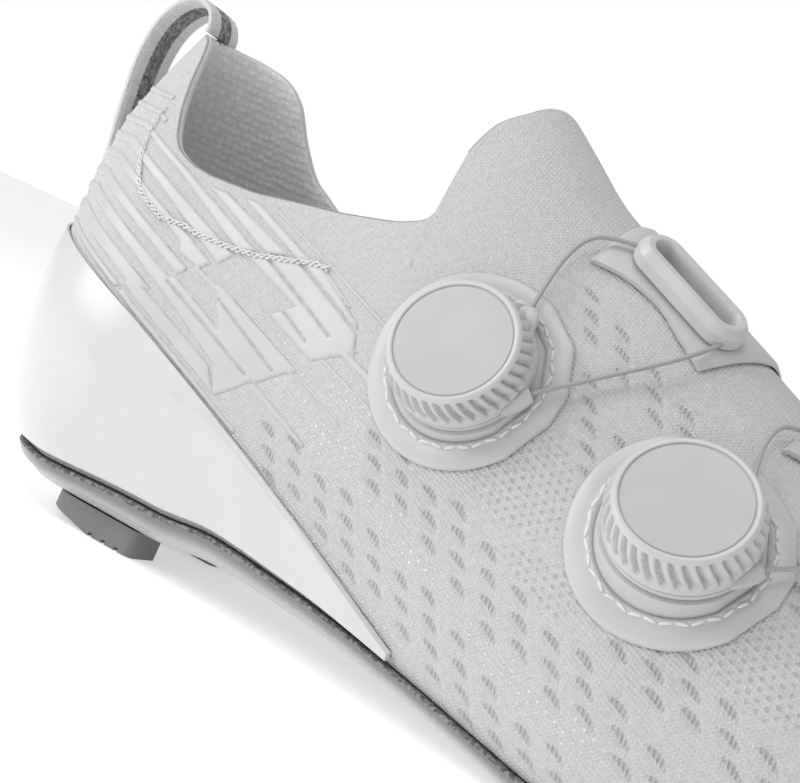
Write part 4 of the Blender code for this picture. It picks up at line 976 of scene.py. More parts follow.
class Piece:
    """Gathers faces of one piece and makes its object."""

    def __init__(self, name: str) -> None:
        """Starts an empty piece.

        Args:
            name: Name of the piece.
        """
        self.name = name
        self.points: list[np.ndarray] = []
        self.faces: list[np.ndarray] = []
        self.slots: list[np.ndarray] = []
        self.flat: list[np.ndarray] = []
        self.values: dict[str, list[np.ndarray]] = {}
        self.count = 0

    def grid(
        self,
        points: np.ndarray,
        slot: int = 0,
        closed: tuple[bool, bool] = (False, False),
        flip: bool = False,
        flat: np.ndarray | None = None,
        **values: np.ndarray,
    ) -> np.ndarray:
        """Adds quads over a grid of points.

        Args:
            points: Rows of points.
            slot: Which of the piece's materials the faces have.
            closed: Whether the rows, and the columns, join up with the first.
            flip: Turns the faces over.
            flat: Unrolled places of the points.
            values: Further values at the points.

        Returns:
            Numbers of the points, in the grid's own shape.
        """
        rows, columns = points.shape[:2]
        ids = np.arange(rows * columns).reshape(rows, columns) + self.count
        down = np.roll(ids, -1, axis=0) if closed[0] else ids[1:]
        first = ids if closed[0] else ids[:-1]
        corners = [first, down]
        quads = []
        for block in corners:
            right = np.roll(block, -1, axis=1) if closed[1] else block[:, 1:]
            left = block if closed[1] else block[:, :-1]
            quads.append((left, right))
        (a, b), (d, c) = quads
        made = np.stack([a, b, c, d] if flip else [a, d, c, b], axis=-1).reshape(-1, 4)
        self.add(points.reshape(-1, 3), made, slot, flat, values)
        return ids

    def add(
        self,
        points: np.ndarray,
        faces: np.ndarray,
        slot: int,
        flat: np.ndarray | None = None,
        values: dict[str, np.ndarray] | None = None,
    ) -> None:
        """Adds loose points and faces whose numbers are already those of the piece.

        Args:
            points: The points.
            faces: Corners of each face.
            slot: Which of the materials they have.
            flat: Unrolled places of the points.
            values: Further values at the points.
        """
        size = len(points)
        self.points.append(points)
        self.faces.append(faces)
        self.slots.append(np.full(len(faces), slot))
        self.flat.append(np.zeros((size, 2)) if flat is None else np.asarray(flat).reshape(-1, 2))
        for word, value in (values or {}).items():
            spread = np.broadcast_to(value, (size,)) if np.ndim(value) == 0 else np.ravel(value)
            self.values.setdefault(word, [np.zeros(self.count)] if self.count else []).append(spread)
        self.count += size
        for word, kept in self.values.items():
            short = self.count - sum(len(part) for part in kept)
            if short:
                kept.append(np.zeros(short))

    def bridge(self, first: np.ndarray, second: np.ndarray, slot: int = 0, closed: bool = True) -> None:
        """Joins two rows of point numbers with quads.

        Args:
            first: One row.
            second: The other row.
            slot: Which of the materials they have.
            closed: Whether the rows join up.
        """
        after = (np.roll(first, -1), np.roll(second, -1)) if closed else (first[1:], second[1:])
        before = (first, second) if closed else (first[:-1], second[:-1])
        faces = np.stack([before[0], after[0], after[1], before[1]], axis=-1)
        self.faces.append(faces)
        self.slots.append(np.full(len(faces), slot))

    def cap(self, ring: np.ndarray) -> None:
        """Closes an end with quads between its outward and its homeward half.

        Args:
            ring: Point numbers out along one face and home along the other.
        """
        half = len(ring) // 2
        faces = [(ring[i], ring[i + 1], ring[-i - 2], ring[-i - 1]) for i in range(half - 1)]
        self.faces.append(np.array(faces))
        self.slots.append(np.zeros(len(faces)))

    def make(
        self,
        materials: Sequence[bpy.types.Material],
        slot: str,
        replaces: Sequence[str] = (),
        weld: float = 0.0,
        sharp: float | None = None,
    ) -> bpy.types.Object:
        """Makes the object, gives it its finish and lets it ride.

        Args:
            materials: Materials in the order of the slots.
            slot: The record's slot that the piece takes its finish from; not used.
            replaces: CAD nodes that the piece stands for.
            weld: Distance under which points merge, or nought.
            sharp: Angle in degrees from which edges are sharp, or none.

        Returns:
            The object.
        """
        mesh = bpy.data.meshes.new(self.name)
        points = np.concatenate(self.points)
        faces = [row for block in self.faces for row in block.tolist()]
        mesh.from_pydata(points.tolist(), [], faces)
        mesh.polygons.foreach_set("material_index", np.concatenate(self.slots).astype(np.int32))
        corners = np.empty(len(mesh.loops), dtype=np.int32)
        mesh.loops.foreach_get("vertex_index", corners)
        layer = mesh.uv_layers.new(name=FLAT_MAP)
        layer.data.foreach_set("uv", np.concatenate(self.flat)[corners].ravel())
        for word, parts in self.values.items():
            kept = mesh.attributes.new(word, "FLOAT", "POINT")
            kept.data.foreach_set("value", np.concatenate(parts))
        for material in materials:
            mesh.materials.append(material)
        mesh.validate()
        mesh.update()
        made = bpy.data.objects.new(self.name, mesh)
        bpy.context.scene.collection.objects.link(made)
        if weld:
            merge_points(mesh, weld)
        face_outward(mesh)
        mesh.shade_smooth()
        if sharp is not None:
            mesh.set_sharp_from_angle(angle=math.radians(sharp))
        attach(made, "root")
        if replaces:
            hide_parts(*replaces)
        LOG.info("%s: %d faces, replaces %s", self.name, len(mesh.polygons), ", ".join(replaces) or "nothing")
        return made


def merge_points(mesh: bpy.types.Mesh, distance: float) -> None:
    """Merges points of a mesh that are closer than a distance.

    Args:
        mesh: The mesh.
        distance: The distance, in metres.
    """
    body = bmesh.new()
    body.from_mesh(mesh)
    bmesh.ops.remove_doubles(body, verts=body.verts, dist=distance)
    bmesh.ops.dissolve_degenerate(body, edges=body.edges, dist=distance / 10)
    body.to_mesh(mesh)
    body.free()


def face_outward(mesh: bpy.types.Mesh) -> None:
    """Turns the faces of every closed shell outward.

    Args:
        mesh: The mesh.
    """
    body = bmesh.new()
    body.from_mesh(mesh)
    bmesh.ops.recalc_face_normals(body, faces=body.faces)
    body.to_mesh(mesh)
    body.free()


STRIP_ANGLE = math.radians(19)


def to_strips(station: np.ndarray, height: np.ndarray) -> tuple[np.ndarray, np.ndarray]:
    """Turns flat places to lie along and across the film strips.

    Args:
        station: Stations in metres.
        height: Girth heights in metres.

    Returns:
        Lengths along the strips and across them.
    """
    c, s = math.cos(STRIP_ANGLE), math.sin(STRIP_ANGLE)
    return station * c - height * s, station * s + height * c


def from_strips(along: np.ndarray, across: np.ndarray) -> tuple[np.ndarray, np.ndarray]:
    """Turns places along and across the strips back to station and height."""
    c, s = math.cos(STRIP_ANGLE), math.sin(STRIP_ANGLE)
    return along * c + across * s, across * c - along * s


def segment_gap(x: np.ndarray, y: np.ndarray, row: Sequence[float]) -> np.ndarray:
    """Distance of places from a segment given by its two ends, all in millimetres.

    Args:
        x: First coordinates.
        y: Second coordinates.
        row: The two ends.

    Returns:
        The distances.
    """
    x0, y0, x1, y1 = row[:4]
    length = (x1 - x0) ** 2 + (y1 - y0) ** 2
    t = np.clip(((x - x0) * (x1 - x0) + (y - y0) * (y1 - y0)) / length, 0.0, 1.0)
    return np.hypot(x - x0 - t * (x1 - x0), y - y0 - t * (y1 - y0))


# Bands of slits and of nubs in the knit on the flat side, in millimetres: ends and half width
SLIT_BANDS = Table(
    "station height far_station far_height half",
    (85, 36, 150, 13, 5.6),
    (150, 13, 215, -6, 4.0),
    (106, 44.5, 165, 23, 5.6),
    (165, 23, 205, 9, 4.0),
    (168, 36, 196, 27, 4.6),
    (138, 74, 150, 58, 4.2),
    (128, 88, 160, 72, 4.2),
    (160, 68, 190, 57, 3.5),
)
NUB_BANDS = Table(
    "station height far_station far_height half",
    (80, 52, 112, 38, 7.0),
    (100, 36, 165, 15, 3.2),
    (84, 31, 130, 11, 1.8),
    (161, 20, 170, 17, 4.0),
)
# Oval spots of mesh near the dials, in millimetres: middle and half sizes
MESH_SPOTS = Table(
    "station height along up",
    (139, 52, 12, 10),
    (146, 36, 12, 5),
    (190, 42, 15, 9),
)


@dataclass
class KnitUpper:
    """The knit upper: fine outer skin, rounded collar rim and lining, as one closed wall."""

    collar_columns: int = 215
    front_columns: int = 195
    outer_rows: int = 128
    inner_rows: int = 50
    lining_rows: int = 18
    rim_rows: int = 4
    rim_round: float = 0.55
    slit_half_length: float = 2.5
    slit_half_width: float = 0.75
    slit_depth: float = 0.00034
    collar_rib: int = 19
    fine_count: int = 900
    even_level: float = 0.3

    def places(self, side: Side) -> tuple[np.ndarray, np.ndarray, np.ndarray]:
        """Foot run, top run and top level of each fine rib of one side, heel to toe.

        Args:
            side: Outer or inner side.

        Returns:
            The three values of each rib.
        """
        word = side.name.lower()
        axis = np.full(len(HEEL_RIBS.rows), HEEL_AXIS)
        heel = -HEEL_RIBS.column("turn") / 90
        heel_top = LAST.level_of(axis, HEEL_RIBS.column(word + "_top") * HEEL_TAB_HEIGHT)
        station = COLLAR_RIBS.column(word + "_station") * SHOE_LENGTH
        collar_top = LAST.level_of(station, COLLAR_RIBS.column(word + "_top") * COLLAR_HEIGHT)
        toe = 1 + TOE_TURNS / 90
        foot = np.concatenate(
            [
                heel,
                run_of(COLLAR_RIBS.column("foot") * SHOE_LENGTH),
                run_of(RIDGE_RIBS.column("foot") * SHOE_LENGTH),
                toe,
            ]
        )
        top = np.concatenate([heel, run_of(station), run_of(RIDGE_RIBS.column("top") * SHOE_LENGTH), toe])
        level = np.concatenate([heel_top, collar_top, np.ones(len(RIDGE_RIBS.rows) + len(toe))])
        ribs = np.arange(len(foot), dtype=float)
        curves = [Curve(ribs, values) for values in (foot, top, level)]
        spots = [
            self.even(side, curves, 0.0, float(self.collar_rib), self.collar_columns),
            self.even(side, curves, float(self.collar_rib), ribs[-1], self.front_columns)[1:],
        ]
        where = np.concatenate(spots)
        foot_run, top_run, top_level = (curve(where) for curve in curves)
        return foot_run, top_run, np.minimum(top_level, 1.0)

    def even(self, side: Side, curves: Sequence[Curve], low: float, high: float, count: int) -> np.ndarray:
        """Rib places between two ribs, spaced evenly along the side.

        Args:
            side: Outer or inner side.
            curves: Foot run, top run and top level by rib.
            low: First rib.
            high: Last rib.
            count: Number of places.

        Returns:
            The places.
        """
        fine = np.linspace(low, high, self.fine_count)
        foot, top, level = (curve(fine) for curve in curves)
        middle = (foot + top) / 2
        line = LAST.point(side, middle, np.minimum(level, 1.0) * self.even_level)
        arc = np.concatenate([[0.0], np.cumsum(np.linalg.norm(np.diff(line, axis=0), axis=1))])
        arc = arc + np.linspace(0.0, arc[-1] * 0.15, len(arc))
        return np.interp(np.linspace(0.0, arc[-1], count), arc, fine)

    def sheet(self, side: Side, rows: int) -> tuple[np.ndarray, np.ndarray]:
        """Runs and levels of one side, with rows spaced evenly up each rib.

        Args:
            side: Outer or inner side.
            rows: Number of rows from foot to top.

        Returns:
            Run and level of each point, by row and column.
        """
        foot, top, top_level = self.places(side)
        share = np.linspace(0.0, 1.0, 90)[:, None]
        level = -1 + (top_level[None, :] + 1) * share
        run = foot[None, :] + (top - foot)[None, :] * share
        points = LAST.point(side, run, level)
        arc = np.concatenate(
            [np.zeros((1, len(foot))), np.cumsum(np.linalg.norm(np.diff(points, axis=0), axis=2), axis=0)]
        )
        arc /= arc[-1]
        even = np.linspace(0.0, 1.0, rows)
        shares = np.stack([np.interp(even, arc[:, i], share[:, 0]) for i in range(len(foot))], axis=1)
        return foot + (top - foot) * shares, -1 + (top_level + 1) * shares

    def marks(self, side: Side, run: np.ndarray, level: np.ndarray) -> dict[str, np.ndarray]:
        """Slit, nub and mesh values and the flat places of points.

        Args:
            side: Outer or inner side.
            run: Runs of the points.
            level: Levels of the points.

        Returns:
            The values by name.
        """
        station, height = FLAT[side].flat_of(run, level)
        u, h = station / MM, height / MM
        s, t = to_strips(u, h)
        basis = np.linalg.inv(np.stack([SLIT_FIRST, SLIT_SECOND], axis=1))
        local = np.stack([s, t], axis=-1) - SLIT_ANCHOR
        near = np.rint(local @ basis.T)
        centre = near[..., :1] * SLIT_FIRST + near[..., 1:] * SLIT_SECOND
        rest = local - centre
        slant = rest[..., 1] + SLIT_LEAN * rest[..., 0]
        shape = np.hypot(rest[..., 0] / self.slit_half_length, slant / self.slit_half_width)
        cu, ch = from_strips(*np.moveaxis(centre + SLIT_ANCHOR, -1, 0))
        inside = np.max([smooth(0.2, -0.2, segment_gap(cu, ch, r) - r[4]) for r in SLIT_BANDS.rows], axis=0)
        room = (inside > 0.5).astype(float)
        slit = (1 - smooth(0.2, 1.5, shape)) * room
        nub = np.max([smooth(1.0, -1.0, segment_gap(u, h, r) - r[4]) for r in NUB_BANDS.rows], axis=0)
        mesh = np.max(
            [smooth(1.25, 0.75, np.hypot((u - r[0]) / r[2], (h - r[1]) / r[3])) for r in MESH_SPOTS.rows],
            axis=0,
        )
        flat = np.stack([s * MM, t * MM], axis=-1)
        return {
            "slit": slit,
            "slit_room": room,
            "nub": nub * (1 - room),
            "mesh": mesh * (1 - room),
            "flat": flat,
        }

    def build(self, finishes: Finishes) -> bpy.types.Object:
        """Builds the upper in place of its solid.

        Args:
            finishes: The shoe's finishes.

        Returns:
            The upper's object.
        """
        piece = Piece("knit_upper")
        rows = {Side.OUTER: self.outer_rows, Side.INNER: self.inner_rows}
        for side in Side:
            flip = side is Side.INNER
            run, level = self.sheet(side, rows[side])
            marks = self.marks(side, run, level)
            flat = marks.pop("flat")
            dent = -self.slit_depth * marks.pop("slit")
            skin = LAST.offset(side, run, level, dent)
            outer = piece.grid(skin, 0, flip=flip, flat=flat, **marks)
            in_run, in_level = self.sheet(side, self.lining_rows)
            lining = LAST.offset(side, in_run, in_level, -UPPER_WALL)
            inner = piece.grid(lining, 1, flip=not flip)
            edge = self.collar_columns
            piece.bridge(outer[0], inner[0], 1, closed=False)
            self.roll_rim(piece, skin[-1, :edge], lining[-1, :edge], outer[-1, :edge], inner[-1, :edge])
        return piece.make((finishes.knit, finishes.lining), "knit", ("upper",), weld=2e-5, sharp=70)

    def roll_rim(
        self, piece: Piece, first: np.ndarray, last: np.ndarray, outer: np.ndarray, inner: np.ndarray
    ) -> None:
        """Closes the collar's rim with a soft roll between the skin and the lining.

        Args:
            piece: The upper's piece.
            first: Top points of the skin.
            last: Top points of the lining.
            outer: Numbers of the skin's top points.
            inner: Numbers of the lining's top points.
        """
        before = outer
        middle = (first + last) / 2
        half = (first - last) / 2
        size = np.linalg.norm(half, axis=1, keepdims=True)
        along = np.gradient(middle, axis=0)
        up = np.cross(along, half)
        up *= size / np.maximum(np.linalg.norm(up, axis=1, keepdims=True), 1e-12)
        up *= np.where(up[:, 2:] < 0, -1.0, 1.0)
        for i in range(1, self.rim_rows):
            angle = math.pi * i / self.rim_rows
            row = middle + half * math.cos(angle) + up * (self.rim_round * math.sin(angle))
            ids = np.arange(len(row)) + piece.count
            piece.add(row, np.zeros((0, 4), int), 0, None, {})
            piece.bridge(before, ids, 0, closed=False)
            before = ids
        piece.bridge(before, inner, 1, closed=False)


# Film strips in millimetres along and across: lower and upper edge at each end, and each end's lean
FILM = Table(
    "start low high end end_low end_high rear_lean front_lean",
    (-46, 58.2, 59.4, 14.0, 57.9, 59.3, 0, 1.5),
    (15.2, 57.9, 59.3, 60, 56.6, 57.6, 1.6, 0),
    (-46, 61.5, 64.5, 22, 60.9, 63.8, 0, 0),
    (15.5, 60.1, 62.9, 50.5, 59.0, 62.5, 0, -5.5),
    (50.4, 59.2, 63.4, 51.2, 59.2, 63.4, -5.2, 2.3),
    (-46, 67.2, 69.3, 21, 65.6, 68.3, 0, 0),
    (20, 65.7, 68.4, 53, 62.5, 66.9, 0, 2.3),
    (-46, 71.4, 73.7, 25.5, 70.0, 72.3, 0, -0.5),
    (22.8, 67.4, 69.7, 42, 66.8, 69.0, 1.5, 0),
    (35, 66.9, 75.0, 56, 66.9, 74.9, 0, 4.9),
    (-46, 76.6, 78.4, 21, 75.2, 77.2, 0, 0),
    (20.5, 73.3, 77.2, 27, 74.0, 76.7, -4.5, 1.3),
    (26, 73.4, 74.2, 60.6, 73.4, 74.9, 0, 0.6),
    (33, 73.4, 75.1, 60.0, 73.4, 74.9, 0, 0.8),
    (-46, 80.8, 82.9, 4, 79.9, 82.2, 0, 0),
    (3, 79.9, 82.2, 29.5, 77.6, 81.3, 0, 1.4),
    (-46, 85.8, 87.3, 6, 85.0, 86.7, 0, 0),
    (5, 85.0, 86.7, 31, 82.4, 85.2, 0, 3.2),
    (4, 88.0, 89.3, 36, 86.2, 89.4, 0, 4.6),
    (22, 91.0, 92.6, 43, 90.0, 92.0, 3, 3.0),
    (32.5, 83.3, 92.8, 64, 83.3, 90.0, 15, 0),
    (55, 78.3, 86.3, 62, 78.3, 86.3, 0, 6.6),
    (60, 85.0, 90.2, 68.6, 85.2, 90.0, 0, -4.6),
    (47, 78.3, 83.8, 58, 78.3, 83.8, 3.5, 0),
    (60.5, 73.2, 73.8, 77, 73.8, 74.2, 0, 0),
    (64, 79.8, 80.5, 81, 80.5, 81.0, 0, 0),
    (64, 83.4, 84.9, 82, 84.0, 85.3, 0, 0),
    (55, 65.7, 66.9, 74, 65.5, 66.3, 1.0, 0),
    (28, 93.9, 94.5, 71, 93.5, 94.2, 0, 0),
    (47, 92.6, 93.2, 60, 90.9, 91.4, 0, 0),
    (-46, 90.6, 92.0, -9, 89.4, 90.8, 0, 0),
    (-46, 95.0, 96.4, -14, 94.0, 95.4, 0, 0),
)
# The open window in the strips, as one row of their table, and fine slits with their half width
FILM_WINDOW = (24.0, 69.4, 73.4, 41.0, 68.6, 72.6, 2.0, -5.5)
FILM_SLITS = Table(
    "along across far_along far_across half",
    (36, 72.8, 57, 71.2, 0.20),
    (24, 67.5, 53, 66.6, 0.20),
    (34, 86.2, 61, 84.3, 0.20),
    (44, 90.1, 65, 88.8, 0.24),
    (48.5, 81.0, 58, 80.1, 0.18),
    (21, 62.9, 45, 62.4, 0.16),
    (42, 92.4, 47, 92.6, 0.20),
)


@dataclass
class FilmStrips:
    """Thin film strips on the rear quarter of one side, fused into plates with fine slits.

    Lifts and the wall are in metres and the other lengths in millimetres; heel_arc is the length
    round the heel of one degree.
    """

    side: Side
    along_step: float = 0.55
    across_step: float = 0.26
    low_lift: float = 0.00006
    full_lift: float = 0.00036
    edge: float = 0.40
    wall: float = 0.0004
    heel_turn: float = 0.34
    heel_start: float = -13.0
    along_span: tuple[float, float] = (-48.0, 83.0)
    across_span: tuple[float, float] = (54.0, 100.0)
    rear_margin: float = 0.2
    rim_margin: float = 1.2
    heel_arc: float = 0.576
    shoe_length: float = 280.0
    tab_height: float = 110.5
    collar_height: float = 81.0

    def quad(self, s: np.ndarray, t: np.ndarray, row: Sequence[float]) -> np.ndarray:
        """Distance inside a four-sided strip, in millimetres.

        Args:
            s: Lengths along.
            t: Lengths across.
            row: One row of the table of strips.

        Returns:
            Positive inside, negative outside.
        """
        start, low, high, end, end_low, end_high, rear, front = row
        corners = ((start, low), (end, end_low), (end + front, end_high), (start + rear, high))
        gaps = []
        for (x0, y0), (x1, y1) in zip(corners, corners[1:] + corners[:1]):
            size = math.hypot(x1 - x0, y1 - y0)
            gaps.append(((x1 - x0) * (t - y0) - (y1 - y0) * (s - x0)) / size)
        return np.min(gaps, axis=0)

    def inside(self, s: np.ndarray, t: np.ndarray) -> np.ndarray:
        """Distance inside the film, with its window and slits cut out.

        Args:
            s: Lengths along.
            t: Lengths across.

        Returns:
            Positive inside, negative outside.
        """
        bent = t + self.heel_turn * np.maximum(self.heel_start - s, 0.0)
        film = np.max([self.quad(s, bent, row) for row in FILM.rows], axis=0)
        film = np.minimum(film, -self.quad(s, bent, FILM_WINDOW))
        for row in FILM_SLITS.rows:
            film = np.minimum(film, segment_gap(s, bent, row) - row[4])
        return film

    def room(self, u: np.ndarray, h: np.ndarray) -> np.ndarray:
        """Distance inside the part of the side where film may lie, in millimetres.

        Args:
            u: Stations in millimetres.
            h: Girth heights in millimetres.

        Returns:
            Positive inside, negative outside.
        """
        back = u - FLAT[self.side].rear / MM - self.rear_margin
        word = self.side.name.lower()
        heel = HEEL_AXIS / MM - HEEL_RIBS.column("turn") * self.heel_arc
        stations = np.concatenate([heel, COLLAR_RIBS.column(word + "_station") * self.shoe_length])
        heel_tops = HEEL_RIBS.column(word + "_top") * self.tab_height
        tops = np.concatenate([heel_tops, COLLAR_RIBS.column(word + "_top") * self.collar_height])
        order = np.argsort(stations)
        ceiling = np.interp(u, stations[order], tops[order])
        return np.minimum(back, ceiling - self.rim_margin - h)

    def build(self, finishes: Finishes, coarse: float = 1.0) -> bpy.types.Object:
        """Cuts the film from a flat grid and lays it on the side.

        Args:
            finishes: The shoe's finishes.
            coarse: How many times coarser than full the grid is.

        Returns:
            The film's object.
        """
        along = np.arange(*self.along_span, self.along_step * coarse)
        across = np.arange(*self.across_span, self.across_step * coarse)
        s, t = np.meshgrid(along, across, indexing="ij")
        film = np.minimum(self.inside(s, t), self.room(*from_strips(s, t)))
        ids = np.arange(s.size).reshape(s.shape)
        quads = np.stack([ids[:-1, :-1], ids[1:, :-1], ids[1:, 1:], ids[:-1, 1:]], axis=-1).reshape(-1, 4)
        used = quads[(film.ravel()[quads] > 0).any(axis=1)]
        mesh = bpy.data.meshes.new("flat_film")
        numbers, faces = np.unique(used, return_inverse=True)
        spots = np.stack([s, t, film], axis=-1).reshape(-1, 3)[numbers]
        mesh.from_pydata(spots.tolist(), [], faces.reshape(-1, 4).tolist())
        body = bmesh.new()
        body.from_mesh(mesh)
        bmesh.ops.bisect_plane(
            body,
            geom=body.verts[:] + body.edges[:] + body.faces[:],
            plane_co=(0, 0, 0),
            plane_no=(0, 0, 1),
            clear_inner=True,
        )
        flat = np.array([vert.co[:] for vert in body.verts])
        station, height = from_strips(flat[:, 0], flat[:, 1])
        rise = self.low_lift + (self.full_lift - self.low_lift) * smooth(0.0, self.edge, flat[:, 2])
        placed = FLAT[self.side].offset(station * MM, height * MM, rise)
        for vert, point in zip(body.verts, placed):
            vert.co = point
        if self.side is Side.INNER:
            bmesh.ops.reverse_faces(body, faces=body.faces)
        body.to_mesh(mesh)
        body.free()
        made = bpy.data.objects.new(f"film_strips_{self.side.name.lower()}", mesh)
        bpy.context.scene.collection.objects.link(made)
        mesh.materials.append(finishes.film)
        mesh.shade_smooth()
        skin = made.modifiers.new("wall", "SOLIDIFY")
        skin.thickness = self.wall
        skin.offset = -1
        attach(made, "root")
        LOG.info("%s: %d faces", made.name, len(mesh.polygons))
        return made


def sweep(
    piece: Piece, line: np.ndarray, radius: float | np.ndarray, sides: int = 8, slot: int = 0
) -> None:
    """Adds a closed round tube along a line.

    Args:
        piece: Piece that takes the tube.
        line: Points of the line.
        radius: Radius all along, or one for each point.
        sides: Points round the tube.
        slot: Which of the piece's materials it has.
    """
    along = np.gradient(line, axis=0)
    along /= np.maximum(np.linalg.norm(along, axis=1, keepdims=True), 1e-12)
    side = np.cross(along[0], (0.3, 0.5, 0.81))
    frames = []
    for way in along:
        side = side - way * side.dot(way)
        side = side / np.linalg.norm(side)
        frames.append((side, np.cross(way, side)))
    turns = np.linspace(0.0, 2 * math.pi, sides, endpoint=False)
    spread = np.broadcast_to(radius, (len(line),))
    rows = [
        point + size * (np.cos(turns)[:, None] * a + np.sin(turns)[:, None] * b)
        for point, size, (a, b) in zip(line, spread, frames)
    ]
    rows = [np.repeat(line[:1], sides, axis=0)] + rows + [np.repeat(line[-1:], sides, axis=0)]
    length = np.concatenate([[0.0], np.cumsum(np.linalg.norm(np.diff(line, axis=0), axis=1))])
    length = np.concatenate([length[:1], length, length[-1:]])
    around = turns * float(np.mean(spread))
    flat = np.stack(np.broadcast_arrays(length[:, None], around[None, :]), axis=-1)
    piece.grid(np.array(rows), slot, closed=(False, True), flat=flat)


# Chain stitch on the outer side, in millimetres along and across the strips
SEAM = Table(
    "along across",
    (-13, 92),
    (-9.5, 85.2),
    (-6.5, 81.2),
    (-3, 78.2),
    (0.5, 76.2),
    (5.5, 75.5),
    (10, 75.4),
    (13, 76.4),
    (16, 77.7),
    (20, 78.6),
    (24, 80.0),
    (29, 81.8),
    (32, 83.2),
    (35, 84.7),
    (38, 86.7),
    (41, 88.5),
    (44, 90.5),
    (47, 92.3),
    (50, 93.4),
)


@dataclass
class ChainStitch:
    """The chain stitch over the strips: two thick threads that cross as they run."""

    pitch: float = 2.9
    step: float = 0.28
    sway: float = 0.46
    radius: float = 0.00021
    lift: float = 0.00052
    crossing: float = 0.00018

    def build(self, finishes: Finishes) -> bpy.types.Object:
        """Lays the threads on the outer side.

        Args:
            finishes: The shoe's finishes.

        Returns:
            The stitch's object.
        """
        piece = Piece("chain_stitch")
        spots = SEAM.rows
        arc = np.concatenate([[0.0], np.cumsum(np.linalg.norm(np.diff(spots, axis=0), axis=1))])
        fine = np.arange(0.0, arc[-1], self.step)
        s, t = Curve(arc, spots[:, 0])(fine), Curve(arc, spots[:, 1])(fine)
        way = np.stack([np.gradient(s), np.gradient(t)], axis=1)
        way /= np.linalg.norm(way, axis=1, keepdims=True)
        for turn in (0.0, math.pi):
            phase = 2 * math.pi * fine / self.pitch + turn
            sway = self.sway * np.sin(phase) * (0.85 + 0.25 * np.sin(fine * 1.7))
            station, height = from_strips(s - way[:, 1] * sway, t + way[:, 0] * sway)
            rise = self.lift + self.crossing * np.cos(phase)
            size = self.radius * (0.55 + 0.45 * smooth(6.0, 20.0, fine)) * (1 + 0.15 * np.sin(fine * 2.3))
            sweep(piece, FLAT[Side.OUTER].offset(station * MM, height * MM, rise), size, 7)
        return piece.make((finishes.thread,), "film")


@dataclass
class HeelCounter:
    """The glossy counter: a smooth shell round the heel that sweeps down to a point."""

    wall: float = 0.0012
    gap: float = 0.00045
    length: float = 0.127
    rear_height: float = 0.0605
    lift: float = 0.0013
    bow: float = 0.0016
    heel_columns: int = 70
    front_columns: int = 90
    rows: int = 26

    def top(self, x: np.ndarray) -> np.ndarray:
        """Height of the upper edge.

        Args:
            x: Stations in metres from the back of the heel.

        Returns:
            Heights in metres.
        """
        share = np.clip(x / self.length, 0.0, 1.0)
        tip = LAST.foot(self.length) + 2 * self.lift
        return self.rear_height + (tip - self.rear_height) * share + self.bow * np.sin(math.pi * share)

    def levels(self, x: np.ndarray, height: np.ndarray) -> np.ndarray:
        """Levels, above or below the belly, of heights at stations.

        Args:
            x: Stations in metres from the back of the heel.
            height: Heights in metres.

        Returns:
            Levels from -1 to 1.
        """
        fine = np.linspace(-1.0, 1.0, 401)
        curves = [LAST.height_at(np.full(len(fine), a), fine) for a in x]
        return np.array([np.interp(z, curve, fine) for z, curve in zip(height, curves)])

    def build(self, finishes: Finishes) -> bpy.types.Object:
        """Builds the counter in place of its solid.

        Args:
            finishes: The shoe's finishes.

        Returns:
            The counter's object.
        """
        heel = np.linspace(-1.0, 0.0, self.heel_columns)
        front = run_of(np.linspace(HEEL_AXIS, self.length, self.front_columns))[1:]
        runs = np.concatenate([heel, front])
        share, lift = self.section()
        columns = []
        for side in Side:
            station = LAST.point(side, runs, np.zeros(runs.shape))[:, 0] + FLAT_SPOT
            x = np.maximum(station, HEEL_AXIS)
            bottom = self.levels(x, LAST.height_at(x, np.full(x.shape, -1.0)) + self.lift)
            top = self.levels(x, self.top(station))
            level = bottom[:, None] + (top - bottom)[:, None] * share[None, :]
            columns.append(LAST.offset(side, np.broadcast_to(runs[:, None], level.shape), level, lift))
        points = np.concatenate([columns[0][::-1], columns[1][1:]])
        piece = Piece("heel_shell")
        ids = piece.grid(points, closed=(False, True))
        piece.cap(ids[0])
        piece.cap(ids[-1])
        return piece.make((finishes.shell,), "gloss_shell", ("heel_counter",), sharp=55)

    def section(self) -> tuple[np.ndarray, np.ndarray]:
        """Shares up the height and lifts of the shell's section, with rounded edges."""
        up = np.linspace(0.0, 1.0, self.rows)
        round_off = np.minimum(smooth(0.0, 0.03, up), smooth(1.0, 0.985, up))
        outer = self.gap + self.wall * (0.45 + 0.55 * round_off)
        share = np.concatenate([up, up[::-1]])
        return share, np.concatenate([outer, np.full(self.rows, self.gap)])


